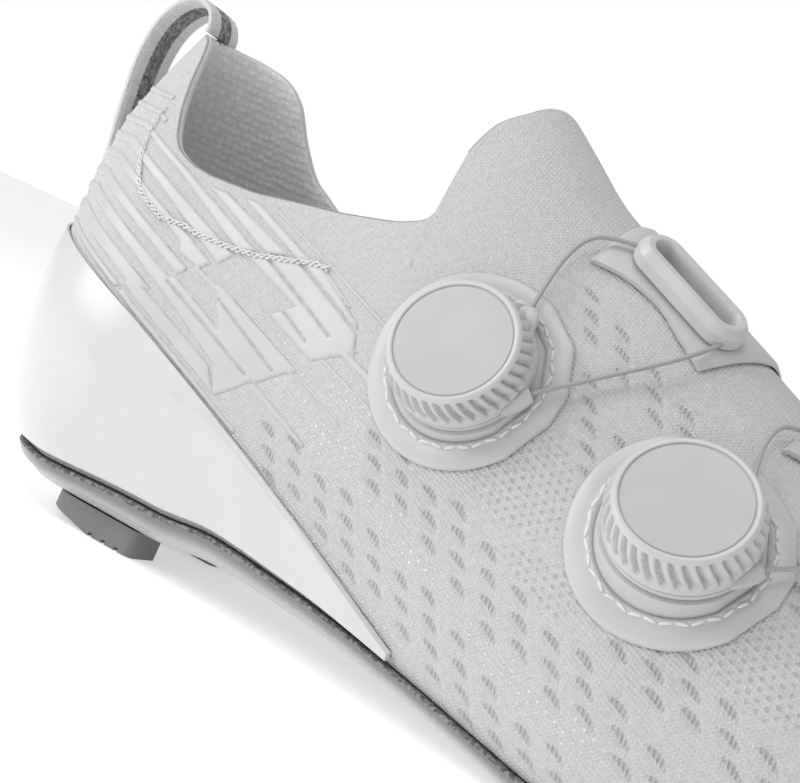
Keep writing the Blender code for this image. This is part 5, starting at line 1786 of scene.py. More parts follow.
class Slab:
    """A closed plate under the upper whose side follows a profile of insets and heights."""

    def __init__(self, columns: int = 90) -> None:
        """Sets the ring of runs that the plate's edge follows.

        Args:
            columns: Points along each third of a side.
        """
        turn = np.linspace(0.0, 1.0, columns // 2)
        heel = -1 + turn
        middle = np.linspace(0.0, 1.0, columns)[1:]
        self.runs = np.concatenate([heel, middle, 1 + turn[1:]])

    def outline(self, side: Side, inset: float, height: Callable[[np.ndarray], np.ndarray]) -> np.ndarray:
        """Points of the edge on one side, in from the upper's foot line by an inset.

        Args:
            side: Outer or inner side.
            inset: Distance in from the foot line.
            height: Height at each station.

        Returns:
            The points.
        """
        run = self.runs
        base = LAST.point(side, run, np.full(run.shape, -1.0))
        half = LAST.half_width(side, HEEL_AXIS, low=True)
        rear = HEEL_AXIS - LAST.back(LAST.foot(HEEL_AXIS))
        bend = 2 / LAST.square(LAST.foot(HEEL_AXIS))
        turn = np.maximum(-run, 0.0) * np.pi / 2
        heel_x = HEEL_AXIS - (rear - inset) * power(np.sin(turn), bend)
        heel_y = (half - inset) * power(np.cos(turn), bend)
        body_x = base[:, 0] + FLAT_SPOT
        body_y = np.abs(base[:, 1] - LAST.centre(body_x)) - inset
        sweep_angle = np.maximum(run - 1, 0.0) * np.pi / 2
        toe_half = LAST.half_width(side, TOE_AXIS, low=True)
        reach = (SHOE_LENGTH - TOE_AXIS) * toe_half / LAST.half_width(side, TOE_AXIS)
        toe_x = TOE_AXIS + (reach - inset) * np.sin(sweep_angle)
        toe_y = (toe_half - inset) * np.cos(sweep_angle)
        x = np.where(run < 0, heel_x, np.where(run > 1, toe_x, body_x))
        half_y = np.where(run < 0, heel_y, np.where(run > 1, toe_y, body_y))
        y = LAST.centre(np.where(run < 0, HEEL_AXIS, x)) + side.value * half_y
        return np.stack([x - FLAT_SPOT, y, height(x)], axis=-1)

    def fill(
        self,
        piece: Piece,
        profile: Sequence[tuple[float, Callable[[np.ndarray], np.ndarray], float]],
        crown: float = 0.0,
    ) -> None:
        """Adds the plate to a piece.

        Args:
            piece: Piece that takes the plate.
            profile: Inset, height and band value of each row, from the top down.
            crown: How far the top is hollowed in its middle.
        """
        rings = []
        for inset, height, _ in profile:
            outer = self.outline(Side.OUTER, inset, height)
            inner = self.outline(Side.INNER, inset, height)
            rings.append(np.concatenate([outer, inner[::-1][1:-1]]))
        bands = np.array([band for _, _, band in profile])
        rings = np.array(rings)
        piece.grid(rings, closed=(False, True), band=np.repeat(bands, rings.shape[1]))
        for row, flip in ((0, False), (-1, True)):
            inset, height, band = profile[row]
            outer = self.outline(Side.OUTER, inset, height)
            inner = self.outline(Side.INNER, inset, height)
            across = np.linspace(0.0, 1.0, 13)[:, None, None]
            face = outer[None] * (1 - across) + inner[None] * across
            if crown and row == 0:
                face[..., 2] -= crown * np.sin(np.pi * across[..., 0]) ** 1.2
            piece.grid(face, flip=flip, band=np.full(face.shape[:2], band))


@dataclass
class Underfoot:
    """The stiff sole plate and the insole over it."""

    insole_thickness: float = 0.003
    insole_clearance: float = 0.0011
    insole_crown: float = 0.0004

    def build(self, finishes: Finishes) -> None:
        """Builds both in place of their solids.

        Args:
            finishes: The shoe's finishes.
        """

        def part(share: float) -> Callable[[np.ndarray], np.ndarray]:
            """Height at a share of the rim."""
            return lambda x: LAST.sole_bottom(x) + LAST.rim(x) * share

        rows = (
            (1.67, 1.0), (0.0, 1.0), (-0.70, 1.0), (-0.84, 0.985), (-0.93, 0.95), (-0.97, 0.90),
            (-0.99, 0.86), (-0.93, 0.84), (-0.90, 0.82), (-0.80, 0.73), (-0.66, 0.60), (-0.52, 0.48),
            (-0.44, 0.42), (-0.30, 0.375), (0.11, 0.32), (0.35, 0.26), (0.70, 0.18), (1.11, 0.10),
            (1.70, 0.04), (2.78, 0.0),
        )
        profile = [(inset * SOLE_LIP, part(share), share) for inset, share in rows]
        piece = Piece("sole_body")
        Slab().fill(piece, profile)
        piece.make((finishes.sole,), "sole_plate", ("sole",), weld=1e-6, sharp=40)
        edge = UPPER_WALL + self.insole_clearance

        def raised(share: float) -> Callable[[np.ndarray], np.ndarray]:
            """Height at a share of the insole's thickness."""
            return lambda x: LAST.foot(x) + self.insole_thickness * share

        rows = ((0.30, 1.0), (0.12, 0.97), (0.03, 0.88), (0.0, 0.75), (0.0, 0.0))
        steps = [(edge + inset * self.insole_thickness, raised(share), share) for inset, share in rows]
        piece = Piece("insole_top")
        Slab().fill(piece, steps, self.insole_crown)
        piece.make((finishes.foam,), "foam", ("insole",), weld=1e-6, sharp=50)


def frame_matrix(origin: Vector, along: Vector, normal: Vector) -> Matrix:
    """A frame whose X lies along a direction and whose Z is a normal.

    Args:
        origin: Place of the frame.
        along: Direction near X.
        normal: The normal.

    Returns:
        The frame.
    """
    z = normal.normalized()
    x = (along - z * along.dot(z)).normalized()
    y = z.cross(x)
    made = Matrix.Identity(4)
    for i, axis in enumerate((x, y, z)):
        made.col[i][:3] = axis
    made.col[3][:3] = origin
    return made


def carry(matrix: Matrix, points: np.ndarray) -> np.ndarray:
    """Points of a frame in the shoe's own."""
    turn = np.array(matrix.to_3x3())
    return points @ turn.T + np.array(matrix.translation)


def smooth_path(points: np.ndarray, step: float) -> np.ndarray:
    """Points spaced by about a step along a smooth curve through given points.

    Args:
        points: The given points.
        step: Spacing in metres.

    Returns:
        The points.
    """
    full = np.concatenate([[2 * points[0] - points[1]], points, [2 * points[-1] - points[-2]]])
    made = []
    for a, b, c, d in zip(full, full[1:], full[2:], full[3:]):
        count = max(1, round(float(np.linalg.norm(c - b)) / step))
        t = (np.arange(count) / count)[:, None]
        made.append(
            (b * 2 + (c - a) * t + (a * 2 - b * 5 + c * 4 - d) * t**2 + (b * 3 - a - c * 3 + d) * t**3) / 2
        )
    return np.concatenate(made + [full[-2:-1]])


def polar(radius: np.ndarray, angle: np.ndarray, height: np.ndarray) -> np.ndarray:
    """Points from radii, angles in radians and heights."""
    radius, angle, height = np.broadcast_arrays(radius, angle, height)
    return np.stack([radius * np.cos(angle), radius * np.sin(angle), height], axis=-1)


# The flange from its middle out: share of its radius, and lift in edge heights, nought at the seat
FLANGE_PROFILE = Table(
    "share lift",
    (0.30, 0.0),
    (0.72, 0.0),
    (0.745, 0.75),
    (0.76, 1.25),
    (0.785, 1.55),
    (0.80, 1.12),
    (0.825, 1.02),
    (0.86, 1.20),
    (0.90, 1.22),
    (0.94, 1.12),
    (0.975, 1.0),
    (0.992, 0.82),
    (1.0, 0.5),
)


@dataclass
class Dial:
    """One lace dial: sewn flange, fixed housing with two ports, and the knob."""

    word: str
    station_share: float
    height_share: float
    tilt_degrees: float
    knob_radius: float = 0.014
    knob_height: float = 0.0066
    knurls: int = 36
    knurl_depth: float = 0.00105
    cap_radius: float = 0.0116
    cap_recess: float = 0.0004
    chamfer: float = 0.0006
    housing_radius: float = 0.0139
    housing_height: float = 0.0028
    flange_radius: float = 0.0202
    flange_edge: float = 0.0009
    flange_seat: float = 0.0011
    seat_margin: float = 0.0008
    port_length: float = 0.0062
    port_width: float = 0.0050
    port_height: float = 0.0027
    port_reach: float = 0.0032
    stitch_radius: float = 0.0162
    stitches: int = 38
    stitch_swing: float = 0.00022
    stitch_rise: float = 0.00016
    thread_radius: float = 0.00034
    waist_share: float = 0.42
    side_power: float = 1.35
    leaf_middle: float = 0.34
    leaf_lean: float = 1.1
    corners: tuple[float, ...] = (-38.0, -10.0, 8.0, 38.0, 66.0)

    def __post_init__(self) -> None:
        """Sets the dial's frame on the upper and the height of its seat."""
        station = self.station_share * SHOE_LENGTH
        level = float(LAST.level_of(np.array(station), np.array(self.height_share * INSTEP_HEIGHT)))
        run = run_of(station)
        spot = Vector(LAST.point(Side.OUTER, run, level))
        normal = Vector(LAST.normal(Side.OUTER, run, level))
        tilt = Matrix.Rotation(math.radians(-self.tilt_degrees), 3, "X")
        self.frame = frame_matrix(spot, Vector((1, 0, 0)), tilt @ normal)
        ring = np.radians(np.arange(0, 360, 15))
        reach = np.full(ring.shape, self.housing_radius + self.seat_margin)
        self.seat = float(self.skin(reach, ring).max()) + GAP + self.flange_seat

    def skin(self, radius: np.ndarray, angle: np.ndarray) -> np.ndarray:
        """Height of the upper over the dial's plane.

        Args:
            radius: Distances from the axis.
            angle: Angles in radians.

        Returns:
            Height at each place.
        """
        radius, angle = np.broadcast_arrays(radius, angle)
        flat = carry(self.frame, polar(radius, angle, 0.0))
        axis = np.array(self.frame.col[2][:3])
        low = np.full(radius.shape, -0.02)
        high = np.full(radius.shape, 0.012)
        for _ in range(34):
            middle = (low + high) / 2
            spot = flat + axis * middle[..., None]
            x = spot[..., 0] + FLAT_SPOT
            wall = LAST.point(Side.OUTER, run_of(x), LAST.level_of(x, spot[..., 2]))[..., 1]
            above = spot[..., 1] > wall
            low = np.where(above, middle, low)
            high = np.where(above, high, middle)
        return (low + high) / 2

    def outline(self, degrees: np.ndarray) -> np.ndarray:
        """Radius of the flange, straight between its toe-side corners.

        Args:
            degrees: Angles round the axis.

        Returns:
            Radius at each angle.
        """
        made = np.full(degrees.shape, self.flange_radius)
        for first, second in zip(self.corners, self.corners[1:]):
            middle = math.radians((first + second) / 2)
            chord = self.flange_radius * math.cos(math.radians(second - first) / 2)
            inside = (degrees >= first) & (degrees <= second)
            made = np.where(inside, chord / np.cos(np.radians(degrees) - middle), made)
        return made

    def build_flange(self, finishes: Finishes) -> None:
        """Builds the flange, its raised lip and its ring of puffy stitches.

        Args:
            finishes: The shoe's finishes.
        """
        piece = Piece(f"flange_{self.word}")
        degrees = np.linspace(-180, 180, 181)[:-1]
        angle = np.radians(degrees)
        rim = self.outline(degrees)
        lows, highs = [], []
        for share, lift in FLANGE_PROFILE.rows:
            radius = rim * share
            under = self.skin(radius, angle) + GAP
            lows.append(polar(radius, angle, under))
            puff = 0.06 * np.sin(angle * 9 + 7 * share) * smooth(0.86, 0.95, np.array(share))
            height = under + (lift + puff) * self.flange_edge if lift else np.full(under.shape, self.seat)
            highs.append(polar(radius, angle, height))
        rows = carry(self.frame, np.array(lows + highs[::-1]))
        piece.grid(rows, closed=(True, True))
        for i in range(self.stitches):
            middle = 2 * math.pi * (i + 0.5) / self.stitches
            span = math.pi / self.stitches * 0.78
            turn = np.linspace(-1, 1, 7)
            swing = self.stitch_radius + self.stitch_swing * turn * (1 if i % 2 else -1)
            place = middle + span * turn
            rise = self.skin(swing, place) + GAP + self.flange_edge * 1.18 + self.stitch_rise * (1 - turn**2)
            size = self.thread_radius * (1 - 0.45 * turn**4)
            sweep(piece, carry(self.frame, polar(swing, place, rise)), size, 6, 1)
        piece.make((finishes.film, finishes.thread), "film", (f"dial_flange_{self.word}",), sharp=45)

    def turned(self, piece: Piece, rows: Sequence[tuple[float, float]], count: int, slot: int = 0) -> None:
        """Adds a plain turned body to a piece.

        Args:
            piece: Piece that takes the body.
            rows: Radius and height over the seat of each row.
            count: Points round it.
            slot: Which of the piece's materials it has.
        """
        angle = np.linspace(0, 2 * math.pi, count, endpoint=False)
        spots = np.array([polar(r, angle, self.seat + z) for r, z in rows])
        piece.grid(carry(self.frame, spots), slot, closed=(False, True), flip=True)

    def build_housing(self, finishes: Finishes, ports: Sequence[tuple[np.ndarray, Vector]]) -> None:
        """Builds the fixed ring, its split line and its two ports.

        Args:
            finishes: The shoe's finishes.
            ports: Place of each port on the dial's plane, and where its lace heads.
        """
        piece = Piece(f"housing_{self.word}")
        base, top, radius = GAP, GAP + self.housing_height, self.housing_radius
        rows = (
            (0.0, base),
            (radius - 0.0002, base),
            (radius, base + 0.0002),
            (radius, base + 0.0012),
            (radius - 0.00035, base + 0.00128),
            (radius - 0.00035, base + 0.00142),
            (radius, base + 0.0015),
            (radius, top - 0.0007),
            (radius - 0.0003, top - 0.0002),
            (radius - 0.0007, top),
            (0.0, top),
        )
        self.turned(piece, rows, 120)
        for place, toward in ports:
            self.add_port(piece, place, toward)
        materials = (finishes.dial, finishes.dark)
        piece.make(materials, "dial_plastic", (f"dial_housing_{self.word}",), weld=1e-6, sharp=32)

    def add_port(self, piece: Piece, place: np.ndarray, toward: Vector) -> None:
        """Adds a faceted beak with its mouth painted near black as shade.

        Args:
            piece: The housing's piece.
            place: Its middle on the dial's plane.
            toward: Where its lace heads.
        """
        local = self.frame.inverted() @ toward
        way = Vector((local.x - place[0], local.y - place[1], 0)).normalized()
        middle = Vector((place[0], place[1], self.seat + 1.3 * GAP + self.port_height / 2))
        turn = self.frame @ frame_matrix(middle, way, Vector((0, 0, 1)))
        angle = np.radians(np.arange(22.5, 360, 45))
        shape = np.stack([np.cos(angle), np.sin(angle)], axis=1) / math.cos(math.radians(22.5))
        shape = np.clip(shape, -1, 1)
        half_w, half_h, reach = self.port_width / 2, self.port_height / 2, self.port_length / 2
        sections = (
            (-reach, half_w, half_h, 0.0),
            (0.0, half_w, half_h, 0.0),
            (reach * 0.55, half_w * 0.86, half_h * 0.88, -0.1),
            (reach, half_w * 0.60, half_h * 0.66, -0.25),
            (reach + 0.0001, half_w * 0.50, half_h * 0.56, -0.22),
            (reach - 0.0008, half_w * 0.40, half_h * 0.44, -0.2),
            (reach - 0.0016, 0.0, 0.0, -0.2),
        )
        rows = []
        for x, wide, high, drop in sections:
            across, up = shape[:, 0] * wide, shape[:, 1] * high + drop * half_h
            rows.append(np.stack([np.full(len(shape), x), across, up], axis=1))
        spots = carry(turn, np.array(rows))
        start = np.repeat(spots[:1].mean(axis=1, keepdims=True), len(shape), axis=1)
        piece.grid(np.concatenate([start, spots[:5]]), 0, closed=(False, True))
        # The mouth takes the near-black finish, painted shade inside the port.
        piece.grid(spots[4:], 1, closed=(False, True))

    def lace_exit(self, place: np.ndarray, toward: Vector, distance: float) -> np.ndarray:
        """A point on the lace's line out of a port.

        Args:
            place: The port's middle.
            toward: Where its lace heads.
            distance: Length out of the middle.

        Returns:
            The point.
        """
        local = self.frame.inverted() @ toward
        way = Vector((local.x - place[0], local.y - place[1], 0)).normalized()
        height = self.seat + GAP + self.port_height * 0.42
        return np.array(self.frame @ (Vector((place[0], place[1], height)) + way * distance))

    def build_knob(self, finishes: Finishes) -> None:
        """Builds the knob with leaf-shaped grip cuts and its recessed bare cap.

        Args:
            finishes: The shoe's finishes.
        """
        piece = Piece(f"knob_{self.word}")
        low = GAP + self.housing_height + GAP
        high = low + self.knob_height
        shoulder = self.cap_radius + 2 * self.chamfer
        waist = low + self.knob_height * self.waist_share
        angle = np.linspace(0, 2 * math.pi, self.knurls * 10, endpoint=False)
        heights = np.concatenate(
            [np.linspace(low + 0.0001, waist, 9), np.linspace(waist, high - self.chamfer, 15)[1:]]
        )
        slope = np.clip((heights - waist) / (high - self.chamfer - waist), 0, 1)
        radii = self.knob_radius - (self.knob_radius - shoulder) * slope**self.side_power
        share = (heights - low) / self.knob_height
        window = smooth(0.02, 0.12, share) * smooth(0.96, 0.74, share)
        away = np.abs(share - self.leaf_middle)
        slant = self.leaf_lean * away * np.where(share > self.leaf_middle, 1.0, -0.8)
        wave = angle[None, :] * self.knurls / (2 * math.pi) + slant[:, None]
        saw = wave - np.floor(wave)
        cut = smooth(-0.05, 0.70, saw) * smooth(1.0, 0.90, saw)
        narrow = 1 - (1 - cut) * window[:, None]
        cut_radii = radii[:, None] - self.knurl_depth * (1 - narrow)
        wall = polar(cut_radii, angle[None, :], self.seat + heights[:, None])
        piece.grid(carry(self.frame, wall), 0, closed=(False, True), flip=True)
        foot = self.knob_radius - 2 * self.chamfer
        self.turned(piece, ((0.0, low), (foot, low), (float(radii[0]), float(heights[0]))), len(angle))
        ring, cap, floor = shoulder - 0.0006, self.cap_radius, high - self.cap_recess
        crown = (
            (float(radii[-1]), float(heights[-1])),
            (ring + 0.0003, high - 0.00025),
            (ring + 0.0001, high - 0.00006),
            (ring - 0.0001, high),
            (cap + 0.0001, high),
            (cap - 0.00005, high - 0.00008),
            (cap - 0.0001, floor),
        )
        disc = (
            (cap - 0.0001, floor),
            (cap - 0.0003, floor),
            (cap - 0.0005, floor + 0.00022),
            (cap * 0.6, floor + 0.00028),
            (0.0, floor + 0.0003),
        )
        self.turned(piece, crown, len(angle))
        self.turned(piece, disc, len(angle), 1)
        materials = (finishes.dial, finishes.cap)
        piece.make(materials, "dial_plastic", (f"dial_knob_{self.word}",), weld=1e-6, sharp=35)


# A strap's edges over the instep: share across, negative on the outer side, and edges in strap lengths
STRAP_EDGES = Table(
    "across rear front",
    (-0.34, -0.64, 0.36),
    (-0.25, -0.61, 0.48),
    (-0.07, -0.58, 0.64),
    (0.10, -0.56, 0.70),
    (0.40, -0.50, 0.66),
    (1.00, -0.36, 0.52),
    (1.50, -0.26, 0.52),
    (1.92, -0.24, 0.54),
)
# How far the strap's outer end reaches down, from its rear to its front edge
STRAP_SIDE = Table(
    "along across",
    (0.00, -0.345),
    (0.25, -0.305),
    (0.50, -0.290),
    (0.75, -0.310),
    (1.00, -0.330),
)


@dataclass
class Guide:
    """A slotted lace guide on its strap over the instep."""

    word: str
    station_share: float
    strap_share: float
    reach: float
    length: float = 0.0285
    width: float = 0.0108
    height: float = 0.0040
    slot_width: float = 0.0046
    bevel: float = 0.0014
    strap_wall: float = 0.0010
    sheet_gap: float = 0.00045
    lace_radius: float = 0.0006
    level: float = 0.80
    slot_lean: float = 0.0007
    sides: int = 96
    strap_columns: int = 30

    def __post_init__(self) -> None:
        """Sets the guide's frame on the upper."""
        self.station = self.station_share * SHOE_LENGTH
        run = run_of(self.station)
        spot = Vector(LAST.point(Side.OUTER, run, self.level))
        normal = Vector(LAST.normal(Side.OUTER, run, self.level))
        ahead = Vector(LAST.point(Side.OUTER, run + 0.05, self.level))
        behind = Vector(LAST.point(Side.OUTER, run - 0.05, self.level))
        self.frame = frame_matrix(spot, ahead - behind, normal)
        self.base = self.sheet_gap + self.strap_wall + GAP
        self.lace_height = self.base + self.lace_radius + GAP

    def build(self, finishes: Finishes) -> None:
        """Builds the guide's ring, bevelled outside and hollowed inside.

        Args:
            finishes: The shoe's finishes.
        """
        piece = Piece(f"guide_{self.word}")
        top = self.base + self.height
        slot = self.length - (self.width - self.slot_width)
        lean = self.slot_lean
        loops = (
            (self.length, self.width, self.base),
            (self.length, self.width, self.base + 0.0018),
            (self.length - 0.0001, self.width - 0.0001, top - self.height * 0.42),
            (self.length - 0.0003, self.width - 0.0003, top - self.height * 0.38),
            (self.length - 2 * self.bevel + 0.0003, self.width - 2 * self.bevel + 0.0003, top - 0.00012),
            (self.length - 2 * self.bevel, self.width - 2 * self.bevel, top),
            (slot + lean + 0.0002, self.slot_width + lean + 0.0002, top),
            (slot + lean, self.slot_width + lean, top - 0.00012),
            (slot + 0.0001, self.slot_width + 0.0001, top - 0.0010),
            (slot - 0.0001, self.slot_width - 0.0001, top - 0.0020),
            (slot + 0.0001, self.slot_width + 0.0001, self.base),
        )
        angle = np.linspace(0, 2 * math.pi, self.sides, endpoint=False)
        rows = []
        for length, width, height in loops:
            radius = width / 2
            end = np.where(np.cos(angle) > 0, length / 2 - radius, radius - length / 2)
            along, across = end + radius * np.cos(angle), radius * np.sin(angle)
            rows.append(np.stack([along, across, np.full(self.sides, height)], axis=1))
        piece.grid(carry(self.frame, np.array(rows)), closed=(True, True), flip=True)
        piece.make((finishes.dial,), "dial_plastic", (f"lace_guide_{self.word}",), sharp=25)

    def lace_points(self) -> list[np.ndarray]:
        """The lace's way round the guide."""
        radius = (self.width + self.slot_width) / 4
        reach = (self.length - self.width) / 2
        angle = np.radians((-10, 25, 60, 90))
        rear = [(-reach - radius * math.cos(a), radius * math.sin(a)) for a in angle]
        spots = rear + [(-x, y) for x, y in reversed(rear)]
        return [np.array(self.frame @ Vector((x, y, self.lace_height))) for x, y in spots]

    def build_strap(self, finishes: Finishes) -> None:
        """Builds the strap from the outer side of the ridge to the inner foot line.

        Args:
            finishes: The shoe's finishes.
        """
        piece = Piece(f"strap_{self.word}")
        length = self.length * self.strap_share
        rear, front = STRAP_EDGES.curve("rear", length, 1.0), STRAP_EDGES.curve("front", length, 1.0)
        side_edge = Curve(STRAP_SIDE.column("along"), STRAP_SIDE.column("across"))
        along = np.linspace(0, 1, self.strap_columns)
        round_off = np.minimum(smooth(-0.002, 0.03, along), smooth(1.002, 0.97, along))
        lift = self.sheet_gap + self.strap_wall * (0.35 + 0.65 * round_off)
        along = np.concatenate([along, along[::-1]])
        lift = np.concatenate([lift, np.full(self.strap_columns, self.sheet_gap)])
        points = []
        for row in np.concatenate([np.linspace(-1, 0, 14), np.arange(0.0, 1.895, 0.035)[1:]]):
            side = Side.INNER if row > 0 else Side.OUTER
            across = np.full(along.shape, row) if row > 0 else -row * side_edge(along)
            level = 1 - across if row > 0 else 1 + across * self.reach
            first, last = rear(across), front(across)
            run = run_of(self.station + first + (last - first) * along)
            points.append(LAST.offset(side, run, level, lift))
        ids = piece.grid(np.array(points), closed=(False, True))
        piece.cap(ids[0])
        piece.cap(ids[-1])
        piece.make((finishes.film,), "film", (f"strap_plate_{self.word}",), sharp=50)


# Points of each lace between dial and guide: station, level, and height over the upper in laces
LACE_WAYS = {
    "upper": (((0.4290, 0.60, 2.2), (0.4370, 0.70, 2.2)), ((0.5320, 0.63, 3.0), (0.4980, 0.49, 2.0))),
    "lower": (((0.6060, 0.64, 2.2), (0.6080, 0.72, 2.2)), ((0.7000, 0.64, 3.0), (0.6821, 0.53, 2.0))),
}
# Middles of the two ports on the dial's plane, in knob radii
PORTS = ((0.460, 0.830), (0.921, -0.214))


@dataclass
class DialSet:
    """A dial, its guide and strap, and the lace held between them."""

    dial: Dial
    guide: Guide
    step: float = 0.0011
    sides: int = 12
    lace_radius: float = 0.00046

    def build(self, finishes: Finishes) -> None:
        """Builds every piece of the set in place of its solids.

        Args:
            finishes: The shoe's finishes.
        """
        ports = [np.array(port) * self.dial.knob_radius for port in PORTS]
        ways = []
        for way in LACE_WAYS[self.dial.word]:
            station, level, height = np.array(way).T
            lift = height * 2 * self.guide.lace_radius
            ways.append(LAST.offset(Side.OUTER, run_of(station * SHOE_LENGTH), level, lift))
        out_way, back_way = ways
        toward = (Vector(out_way[0]), Vector(back_way[-1]))
        reaches = (-self.dial.port_reach, self.dial.port_reach)
        first = [self.dial.lace_exit(ports[0], toward[0], reach) for reach in reaches]
        last = [self.dial.lace_exit(ports[1], toward[1], reach) for reach in reversed(reaches)]
        route = smooth_path(
            np.array(first + list(out_way) + self.guide.lace_points() + list(back_way) + last), self.step
        )
        self.dial.build_flange(finishes)
        self.dial.build_housing(finishes, list(zip(ports, toward)))
        self.dial.build_knob(finishes)
        self.guide.build_strap(finishes)
        self.guide.build(finishes)
        piece = Piece(f"cord_{self.dial.word}")
        sweep(piece, route, self.lace_radius, self.sides)
        piece.make((finishes.cord,), "lace", (f"lace_{self.dial.word}",))


# The loop from the back of the heel up, over and down, in shares of its sizes
LOOP_PATH = Table(
    "over drop rise bulge",
    (0.00, 1.00, 0.00, 0.00),
    (0.00, 0.85, 0.00, 0.03),
    (0.00, 0.68, 0.00, 0.41),
    (0.00, 0.50, 0.00, 0.76),
    (0.00, 0.33, 0.00, 1.00),
    (0.00, 0.16, 0.00, 0.97),
    (0.00, 0.01, 0.00, 0.53),
    (0.13, 0.00, 0.68, 0.00),
    (0.52, 0.00, 1.00, 0.00),
    (0.84, 0.00, 0.81, 0.00),
    (1.00, 0.00, 0.35, 0.00),
    (1.02, 0.00, 0.00, 0.00),
)


@dataclass
class PullLoop:
    """The woven tape loop from the back of the heel over the tab to its rim."""

    width: float = 0.013
    thickness: float = 0.0015
    drop: float = 0.041
    rise: float = 0.0062
    bulge: float = 0.0034
    seat_share: float = 0.67
    step: float = 0.0007
    columns: int = 25

    def build(self, finishes: Finishes) -> None:
        """Builds the loop in place of its solid.

        Args:
            finishes: The shoe's finishes.
        """
        back = float(LAST.back(self.seat_share * HEEL_TAB_HEIGHT)) - GAP - self.thickness / 2
        rim = float(LAST.back(HEEL_TAB_HEIGHT)) + UPPER_WALL / 2
        over, drop, rise, bulge = (LOOP_PATH.column(name) for name in LOOP_PATH.columns)
        x = back + over * (rim - back) - bulge * self.bulge - FLAT_SPOT
        z = HEEL_TAB_HEIGHT + GAP - drop * self.drop + rise * self.rise
        middle = smooth_path(np.stack([x, np.zeros(len(x)), z], axis=1), self.step)
        along = np.gradient(middle, axis=0)
        along /= np.linalg.norm(along, axis=1, keepdims=True)
        normal = np.stack([-along[:, 2], np.zeros(len(middle)), along[:, 0]], axis=1)
        span = np.linspace(-1, 1, self.columns)
        edge = 1 - smooth(0.86, 1.0, np.abs(span)) * 0.55
        ribs = 1 + 0.10 * np.cos(np.arange(len(middle)) * math.pi)[:, None] * np.ones(self.columns)
        across = np.concatenate([span, span[::-1]])
        side = np.concatenate([edge, -edge])[None, :] * np.concatenate([ribs, ribs], axis=1)
        points = (
            middle[:, None, :]
            + normal[:, None, :] * (side * self.thickness / 2)[..., None]
            + np.array((0, 1, 0)) * (across * self.width / 2)[None, :, None]
        )
        piece = Piece("loop_tape")
        spread = np.broadcast_to(np.abs(across), points.shape[:2])
        piece.grid(points, closed=(False, True), across=spread)
        for row in (points[0], points[-1]):
            faces = np.stack([row[: self.columns], row[self.columns :][::-1]])
            piece.grid(faces, across=np.broadcast_to(np.abs(span), faces.shape[:2]))
        piece.make((finishes.tape,), "tape", ("pull_loop",), weld=1e-6, sharp=60)


@dataclass(frozen=True)
class Lamp:
    """A square soft light: where it stands, its size in metres and its watts."""

    name: str
    spot: tuple[float, float, float]
    size: float
    watts: float

    def place(self, target: Vector) -> None:
        """Adds the light so that it faces a target.

        Args:
            target: The place that it faces.
        """
        made = bpy.data.lights.new(self.name, "AREA")
        made.size = self.size
        made.energy = self.watts
        lamp = bpy.data.objects.new(self.name, made)
        lamp.location = self.spot
        lamp.rotation_euler = (target - Vector(self.spot)).to_track_quat("-Z", "Y").to_euler()
        bpy.context.scene.collection.objects.link(lamp)


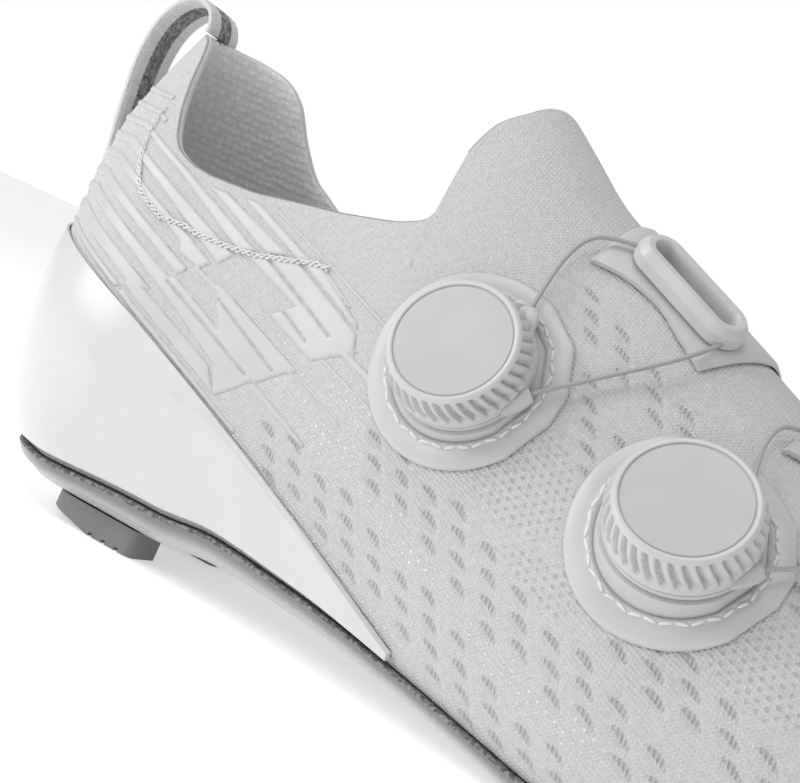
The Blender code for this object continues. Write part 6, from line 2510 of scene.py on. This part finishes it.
@dataclass
class Studio:
    """The pale floor, the soft lights and the camera at the photograph's angle."""

    target: tuple[float, float, float] = (-0.078, -0.034, 0.056)
    stand: tuple[float, float, float] = (0.0456, -0.3116, 0.064)
    roll: float = 24.7
    lens: float = 72.0
    room_strength: float = 0.53
    floor_reach: float = 9.0
    floor_glow: float = 0.40
    lamps: tuple[Lamp, ...] = (
        Lamp("key", (-0.78, -0.55, 0.45), 0.5, 3.6),
        Lamp("top", (-0.25, -0.40, 1.05), 0.6, 3.0),
    )

    def build(self) -> None:
        """Makes the floor, the room, the lights and the camera."""
        bpy.context.scene.view_settings.view_transform = "Standard"
        self.lay_floor()
        self.light_room()
        for lamp in self.lamps:
            lamp.place(Vector(self.target))
        self.set_camera()

    def lay_floor(self) -> None:
        """Lays the pale floor, which glows a little as a lit table does."""
        shade = Shade("floor", (0.9, 0.9, 0.9), 0.7)
        grain = shade.noise(shade.position(), 0.05)
        shade.paint(shade.mix(grain, (0.90, 0.90, 0.90), (0.92, 0.92, 0.92)))
        shade.put(emission_color=(1.0, 1.0, 1.0, 1.0), emission_strength=self.floor_glow)
        mesh = bpy.data.meshes.new("floor")
        reach = self.floor_reach
        corners = [(x * reach, y * reach, 0) for x, y in ((-1, -1), (1, -1), (1, 1), (-1, 1))]
        mesh.from_pydata(corners, [], [(0, 1, 2, 3)])
        mesh.materials.append(shade.material)
        floor = bpy.data.objects.new("floor", mesh)
        bpy.context.scene.collection.objects.link(floor)

    def light_room(self) -> None:
        """Lights the room softly, with a full white for the camera's own view of it."""
        world = bpy.data.worlds.new("soft_room")
        world.use_nodes = True
        tree = world.node_tree
        room = tree.nodes["Background"]
        room.inputs["Color"].default_value = (1.0, 1.0, 1.0, 1.0)
        room.inputs["Strength"].default_value = self.room_strength
        wall = tree.nodes.new("ShaderNodeBackground")
        wall.inputs["Color"].default_value = (1.0, 1.0, 1.0, 1.0)
        seen = tree.nodes.new("ShaderNodeLightPath")
        blend = tree.nodes.new("ShaderNodeMixShader")
        tree.links.new(seen.outputs["Is Camera Ray"], blend.inputs[0])
        tree.links.new(room.outputs[0], blend.inputs[1])
        tree.links.new(wall.outputs[0], blend.inputs[2])
        tree.links.new(blend.outputs[0], tree.nodes["World Output"].inputs["Surface"])
        bpy.context.scene.world = world

    def set_camera(self) -> None:
        """Adds the camera, rolled as the photograph is."""
        made = bpy.data.cameras.new("camera")
        made.lens = self.lens
        made.sensor_width = 36.0
        made.sensor_fit = "HORIZONTAL"
        made.clip_start = 0.01
        holder = bpy.data.objects.new("camera", made)
        back = (Vector(self.stand) - Vector(self.target)).normalized()
        right = Vector((0, 0, 1)).cross(back).normalized()
        up = back.cross(right)
        turn = math.radians(self.roll)
        level = math.cos(turn) * right + math.sin(turn) * up
        upright = math.cos(turn) * up - math.sin(turn) * right
        holder.matrix_world = Matrix.Translation(self.stand) @ Matrix(
            (
                (level.x, upright.x, back.x, 0),
                (level.y, upright.y, back.y, 0),
                (level.z, upright.z, back.z, 0),
                (0, 0, 0, 1),
            )
        )
        bpy.context.scene.collection.objects.link(holder)
        bpy.context.scene.camera = holder


@dataclass
class HeelPads:
    """The two rubber heel pads, which keep their solids and get their finish."""

    names: tuple[str, str] = ("heel_pad_outer", "heel_pad_inner")

    def dress(self, finishes: Finishes) -> None:
        """Gives each pad the rubber finish.

        Args:
            finishes: The shoe's finishes.
        """
        for name in self.names:
            for made in bpy.data.objects:
                if made.name.split(".")[0] == name and made.type == "MESH":
                    made.data.materials.clear()
                    made.data.materials.append(finishes.rubber)
                    LOG.info("%s: rubber finish", name)


def main() -> None:
    """Builds every piece of the shoe in order."""
    logging.basicConfig(level=logging.INFO, format="%(message)s")
    finishes = Finishes()
    KnitUpper().build(finishes)
    Underfoot().build(finishes)
    HeelPads().dress(finishes)
    HeelCounter().build(finishes)
    FilmStrips(Side.OUTER).build(finishes)
    FilmStrips(Side.INNER).build(finishes, coarse=1.8)
    ChainStitch().build(finishes)
    PullLoop().build(finishes)
    DialSet(
        Dial("upper", station_share=0.413, height_share=0.532, tilt_degrees=3.0),
        Guide("upper", station_share=0.5064, strap_share=1.00, reach=1.00),
    ).build(finishes)
    DialSet(
        Dial("lower", station_share=0.595, height_share=0.440, tilt_degrees=7.0),
        Guide("lower", station_share=0.6680, strap_share=0.80, reach=0.90),
    ).build(finishes)
    Studio().build()


if __name__ == "__main__":
    main()
